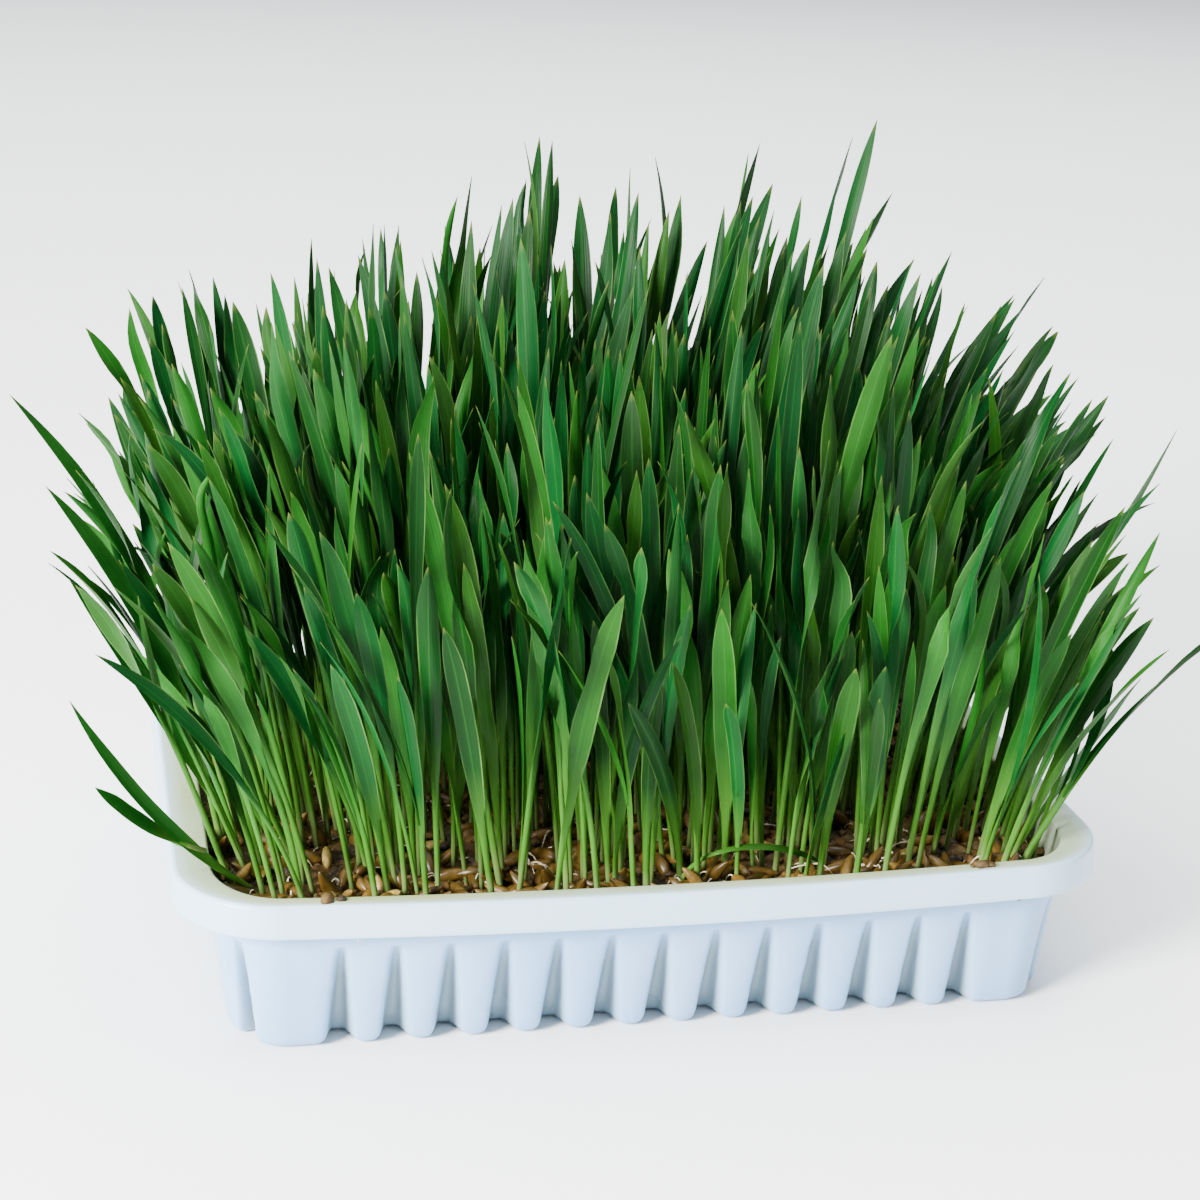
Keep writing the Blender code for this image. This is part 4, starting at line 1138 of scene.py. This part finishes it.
def shoot_mesh(shoot, grass):
    """Points, faces, layers and sharp edges of a round stem that opens into a channelled leaf."""
    t = np.append(np.linspace(0, 0.94, 13), (0.965, 0.985)) if shoot.side else SHARES
    middle = shoot.middle(t)
    ahead = shoot.middle(np.minimum(t + 0.01, 1.0)) - shoot.middle(np.maximum(t - 0.01, 0.0))
    ahead /= np.linalg.norm(ahead, axis=1, keepdims=True)
    across = shoot.across(t)
    across -= ahead * (across * ahead).sum(axis=1, keepdims=True)
    across /= np.linalg.norm(across, axis=1, keepdims=True)
    out = np.cross(across, ahead)
    if shoot.side:
        sheath = grass.stem * SIDE_FOOT
        width = sheath + (shoot.width - sheath) * smooth(t / 0.50)
        width *= 1 - np.clip((t - 0.50) / 0.50, 0, 1) ** 2.3
        flat = smooth(t / 0.16 + 0.25)
    else:
        middle[0] -= ahead[0] * STEM_ROOT
        width = leaf_width(t, shoot)
        flat = smooth((t - shoot.opens) / FLATTENING)
    rings = []
    for i in range(len(t)):
        half = width[i] / 2
        thick = grass.leaf * (0.35 + 0.65 * min(1.0, width[i] / (shoot.width * 0.6)))
        fold = grass.fold * width[i] * (1 - 0.6 * max(0.0, (t[i] - 0.8) / 0.2))
        leaf_side = FLAT_ACROSS * half
        leaf_out = FLAT_DEEP * thick + (np.abs(FLAT_ACROSS) ** 1.4) * fold
        stem_side = np.cos(ROUND) * half
        stem_out = np.sin(ROUND) * half * STEM_OVAL
        side = stem_side + (leaf_side - stem_side) * flat[i]
        rise = stem_out + (leaf_out - stem_out) * flat[i]
        rings.append(middle[i] + across[i] * side[:, None] + out[i] * rise[:, None])
    points = np.vstack([*rings, shoot.middle(1.0)])
    count, sides = len(t), len(ROUND)
    faces = [face[::-1] for face in loft(sides, count)]
    faces.append(tuple(range(sides)))
    faces += [(after, before, tip) for before, after, tip in fan((count - 1) * sides, sides, count * sides)]
    layers = {
        "along": np.append(np.repeat(t * 0.6 + 0.4 if shoot.side else t, sides), 1.0),
        "across": np.append(np.tile(FLAT_ACROSS, count) * np.repeat(flat, sides), 0.0),
        "tone": np.full(len(points), clamp(shoot.tone)),
    }
    # Both margins of the open leaf are sharp
    sharp = [(ring * sides + margin, (ring + 1) * sides + margin)
             for ring in range(count - 1) if flat[ring] > 0.6 for margin in (0, sides // 2)]
    return points, faces, layers, sharp


def side_leaf(shoot, draw):
    """The first leaf of a shoot: shorter, leaving the stem part of the way up."""
    start = draw.uniform(0.22, 0.45)
    base = shoot.middle(start)[0]
    ahead = shoot.middle(start + 0.05)[0] - base
    ahead /= np.linalg.norm(ahead)
    heading = draw.uniform(0, math.tau)
    away = np.array([math.cos(heading), math.sin(heading), 0.0])
    length = draw.uniform(0.032, 0.062)
    open_out = draw.uniform(0.12, 0.38)
    points = [base, base + ahead * length * 0.33 + away * length * 0.05 * open_out,
              base + ahead * length * 0.68 + away * length * 0.42 * open_out,
              base + ahead * length * draw.uniform(0.88, 1.0) + away * length * open_out]
    face = heading + math.pi / 2 + draw.uniform(-0.4, 0.4)
    return Shoot(curve_of(points), length * draw.uniform(0.058, 0.078), face, draw.gauss(0, 0.8),
                 shoot.tone + draw.gauss(0.05, 0.1), side=True)


def neighbour(shoot, spot, grass, draw):
    """A shoot at a spot, like the one that stands nearest to it, and most often shorter."""
    curve = shoot.curve.copy()
    curve[1:] *= draw.uniform(0.70, 1.03)
    curve[0][:2] = spot
    lean = np.array([*(draw.gauss(0, spread) for spread in LEAN), 0.0])
    curve[1] += lean * draw.uniform(-0.2, 0.7)
    curve[2] += lean * draw.uniform(0.4, 0.8)
    grown = Shoot(curve, draw.uniform(*LEAF_WIDTHS), draw.uniform(0, math.pi), draw.gauss(0, 1.5),
                  draw.gauss(0.42 - age_of(curve), 0.27))
    vary(grown, grass, draw)
    return grown


def stray_shoots(draw):
    """The shoots at the rim that bend out on their own, each with the number of its bunch."""
    top = SOIL_TOP
    listed = [
        (0, [(-0.0830, -0.0470, top), (-0.0905, -0.0525, 0.0350), (-0.1070, -0.0580, 0.0500),
             (-0.1190, -0.0600, 0.0760)], 0.0032, 0.6, 0.3),
        (0, [(-0.0953, -0.0532, 0.0405), (-0.1010, -0.0565, 0.0440), (-0.1090, -0.0595, 0.0500),
             (-0.1145, -0.0600, 0.0574)], 0.0050, 1.1, 0.2),
        (8, [(-0.0840, -0.0060, top), (-0.0920, -0.0080, 0.0640), (-0.1080, -0.0190, 0.1010),
             (-0.1290, -0.0300, 0.1292)], 0.0040, 0.5, 0.5),
        (8, [(-0.0850, -0.0230, top), (-0.0930, -0.0250, 0.0600), (-0.1060, -0.0320, 0.0900),
             (-0.1224, -0.0400, 0.1131)], 0.0044, 0.3, 0.7),
        (0, [(-0.0835, -0.0380, top), (-0.0920, -0.0400, 0.0540), (-0.1040, -0.0470, 0.0720),
             (-0.1184, -0.0520, 0.0978)], 0.0048, 0.2, 0.9),
        (15, [(0.0850, -0.0080, top), (0.0930, -0.0100, 0.0580), (0.1120, -0.0120, 0.0780),
              (0.1298, -0.0100, 0.1137)], 0.0048, 0.3, 0.5),
        (4, [(0.0060, -0.0550, top), (0.0100, -0.0590, 0.0410), (0.0280, -0.0640, 0.0410),
             (0.0371, -0.0565, 0.0310)], 0.0030, 1.2, 0.2),
        (7, [(0.0855, -0.0460, top), (0.0910, -0.0460, 0.0380), (0.1000, -0.0430, 0.0520),
             (0.1135, -0.0400, 0.0646)], 0.0046, 0.4, 0.4),
        (7, [(0.0835, -0.0550, top), (0.0890, -0.0570, 0.0430), (0.1000, -0.0530, 0.0640),
             (0.0930, -0.0460, 0.0700)], 0.0030, 1.0, 0.3),
    ]
    return [(number, Shoot(curve_of(points), width, face, twist, draw.uniform(0.5, 0.8)))
            for number, points, width, face, twist in listed]


def read_bunches(strays, stand, grass, draw):
    """The shoots of every bunch in the frame, without those that a stray takes the place of."""
    stray_roots = [tuple(shoot.curve[0][:2]) for _, shoot in strays]
    bunches = []
    for node in BUNCHES:
        bunch = []
        for root, rings in frame_shoots(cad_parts[node]):
            if any(math.dist(root.xy, spot) < SAME_ROOT for spot in stray_roots):
                continue
            bunch.append(read_shoot(root, rings, grass, draw))
        bunches.append(bunch)
        for shoot in bunch:
            stand.add(shoot)
    for _, shoot in strays:
        stand.add(shoot)
    if sum(map(len, bunches)) < LEAST_SHOOTS:
        raise RuntimeError("the frame's bunches hold too few shoots")
    return bunches


def fill_bunches(bunches, stand, grass, draw):
    """More shoots between those of the frame, wherever one fits without crossing others."""
    owners = [(shoot, bunch) for bunch in bunches for shoot in bunch]
    roots = np.array([shoot.curve[0][:2] for shoot, _ in owners])
    taken = roots.copy()
    for _ in range(grass.fill):
        spot = np.array(inside_bed(draw, SHOOT_MARGIN))
        if spot[1] < FRONT_BED and draw.random() < FRONT_GAPS:
            continue
        if np.hypot(*(taken - spot).T).min() < grass.spacing:
            continue
        like, bunch = owners[np.hypot(*(roots - spot).T).argmin()]
        tries = [neighbour(like, spot, grass, draw) for _ in range(7)]
        tries = [grown for grown in tries if grown.in_box()]
        if not tries:
            continue
        best = min(tries, key=stand.crossings)
        if stand.crossings(best) <= 1:
            bunch.append(best)
            stand.add(best)
            taken = np.vstack([taken, spot])


def finish_shoots(bunches, stand, grass, draw):
    """Side leaves where they fit, and curled tips, waves and sharp turns on the taller shoots."""
    for bunch in bunches:
        for shoot in list(bunch):
            if draw.random() < grass.side_leaves:
                tries = [side_leaf(shoot, draw) for _ in range(4)]
                best = min(tries, key=stand.crossings)
                if best.in_box() and stand.crossings(best) <= 3:
                    bunch.append(best)
                    stand.add(best)
            if height_of(shoot.curve) < LOW_SHOOT:
                continue
            if draw.random() < CURLED:
                shoot.curl = draw.uniform(-CURL, CURL)
                if not shoot.in_box():
                    shoot.curl = 0.0
            if draw.random() < WAVING:
                shoot.wave, shoot.phase = draw.uniform(0.15, 0.5), draw.uniform(0, math.tau)
            if draw.random() < TURNED:
                shoot.wring = draw.choice((-1, 1)) * draw.uniform(1.2, 3.1)
                shoot.wrung = draw.uniform(0.30, 0.66)


def build_shoots(grass):
    """Every bunch: the frame's shoots, those between them, side leaves and the strays at the rim."""
    draw = random.Random(grass.seed)
    stand = Stand()
    strays = stray_shoots(draw)
    bunches = read_bunches(strays, stand, grass, draw)
    fill_bunches(bunches, stand, grass, draw)
    finish_shoots(bunches, stand, grass, draw)
    for number, shoot in strays:
        bunches[number].append(shoot)
    leaf = grass_material(grass)
    for node, bunch in zip(BUNCHES, bunches):
        points, faces, sharp = [], [], set()
        layers = {"along": [], "across": [], "tone": []}
        for shoot in bunch:
            start = len(points)
            spots, sides, own, edges = shoot_mesh(shoot, grass)
            points += spots.tolist()
            faces += moved(sides, start)
            sharp.update(moved(edges, start))
            for name, values in own.items():
                layers[name] += values.tolist()
        piece = add_piece("grass_" + node[-2:], points, faces, leaf, layers, sharp)
        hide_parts(node)


# Stage


def build_stage(stage):
    """A pale floor, soft lights, pale surroundings and the camera."""
    data = bpy.data.meshes.new("floor")
    corners = [(x * FLOOR_HALF, y * FLOOR_HALF, 0) for x, y in ((-1, -1), (1, -1), (1, 1), (-1, 1))]
    data.from_pydata(corners, [], [(0, 1, 2, 3)])
    data.materials.append(floor_material(stage))
    floor = placed("floor", data)

    world = bpy.data.worlds.new("pale_room")
    world.use_nodes = True
    background = world.node_tree.nodes["Background"]
    background.inputs["Color"].default_value = SKY_COLOUR
    background.inputs["Strength"].default_value = stage.sky
    bpy.context.scene.world = world

    for name, power in (("key", stage.key), ("ceiling", stage.ceiling), ("right_fill", stage.fill)):
        add_light(name, power)

    lens = bpy.data.cameras.new("camera")
    lens.sensor_width = 36.0
    lens.lens = FOCAL_LENGTH
    lens.clip_start = 0.02
    camera = placed("camera", lens)
    camera.matrix_world = Matrix.Translation(CAMERA_PLACE) @ CAMERA_TURN.to_4x4()
    bpy.context.scene.camera = camera


def add_light(name, power):
    """One of the square area lights."""
    place, size, colour = LIGHTS[name]
    lamp = bpy.data.lights.new(name, "AREA")
    lamp.size = size
    lamp.energy = power
    lamp.color = colour
    light = placed(name, lamp)
    light.location = place
    light.rotation_euler = (Vector(GRASS_MIDDLE) - Vector(place)).to_track_quat("-Z", "Y").to_euler()


# Operators and panel


class WHEATGRASS_OT_stage(Operator):
    """Add the floor, the lights and the camera"""

    bl_idname = "wheatgrass.stage"
    bl_label = "Stage"

    def execute(self, context):
        build_stage(context.scene.wheatgrass_stage)
        return {"FINISHED"}


class WHEATGRASS_OT_tray(Operator):
    """Add the white fluted tray"""

    bl_idname = "wheatgrass.tray"
    bl_label = "Tray"

    def execute(self, context):
        build_tray(context.scene.wheatgrass_tray)
        return {"FINISHED"}


class WHEATGRASS_OT_soil(Operator):
    """Add the bed of wet soil and its loose crumbs"""

    bl_idname = "wheatgrass.soil"
    bl_label = "Soil"

    def execute(self, context):
        build_soil(context.scene.wheatgrass_soil)
        return {"FINISHED"}


class WHEATGRASS_OT_kernels(Operator):
    """Add the sprouted kernels and their rootlets"""

    bl_idname = "wheatgrass.kernels"
    bl_label = "Kernels"

    def execute(self, context):
        build_kernels(context.scene.wheatgrass_soil)
        return {"FINISHED"}


class WHEATGRASS_OT_shoots(Operator):
    """Add the bunches of shoots, grown from those of the frame"""

    bl_idname = "wheatgrass.shoots"
    bl_label = "Shoots"

    def execute(self, context):
        build_shoots(context.scene.wheatgrass_grass)
        return {"FINISHED"}


class WHEATGRASS_PT_panel(Panel):
    """The operators and their values"""

    bl_label = "Wheatgrass tray"
    bl_idname = "WHEATGRASS_PT_panel"
    bl_space_type = "VIEW_3D"
    bl_region_type = "UI"
    bl_category = "Wheatgrass"

    def draw(self, context):
        scene = context.scene
        for operator, group in (("stage", scene.wheatgrass_stage), ("tray", scene.wheatgrass_tray),
                                ("soil", scene.wheatgrass_soil), ("kernels", None),
                                ("shoots", scene.wheatgrass_grass)):
            box = self.layout.box()
            box.operator("wheatgrass." + operator)
            if group:
                for name in group.__annotations__:
                    box.prop(group, name)


PROPERTY_GROUPS = {
    "wheatgrass_stage": StageProperties,
    "wheatgrass_tray": TrayProperties,
    "wheatgrass_soil": SoilProperties,
    "wheatgrass_grass": GrassProperties,
}
CLASSES = (
    *PROPERTY_GROUPS.values(),
    WHEATGRASS_OT_stage,
    WHEATGRASS_OT_tray,
    WHEATGRASS_OT_soil,
    WHEATGRASS_OT_kernels,
    WHEATGRASS_OT_shoots,
    WHEATGRASS_PT_panel,
)


def register():
    """Register the classes, and give the scene its values."""
    for item in CLASSES:
        bpy.utils.register_class(item)
    for name, group in PROPERTY_GROUPS.items():
        setattr(bpy.types.Scene, name, PointerProperty(type=group))


def unregister():
    """Take the values and the classes away again."""
    for name in PROPERTY_GROUPS:
        delattr(bpy.types.Scene, name)
    for item in reversed(CLASSES):
        bpy.utils.unregister_class(item)


def main():
    """Build the stage and every piece."""
    register()
    bpy.ops.wheatgrass.stage()
    bpy.ops.wheatgrass.tray()
    bpy.ops.wheatgrass.soil()
    bpy.ops.wheatgrass.kernels()
    bpy.ops.wheatgrass.shoots()


if __name__ == "__main__":
    main()
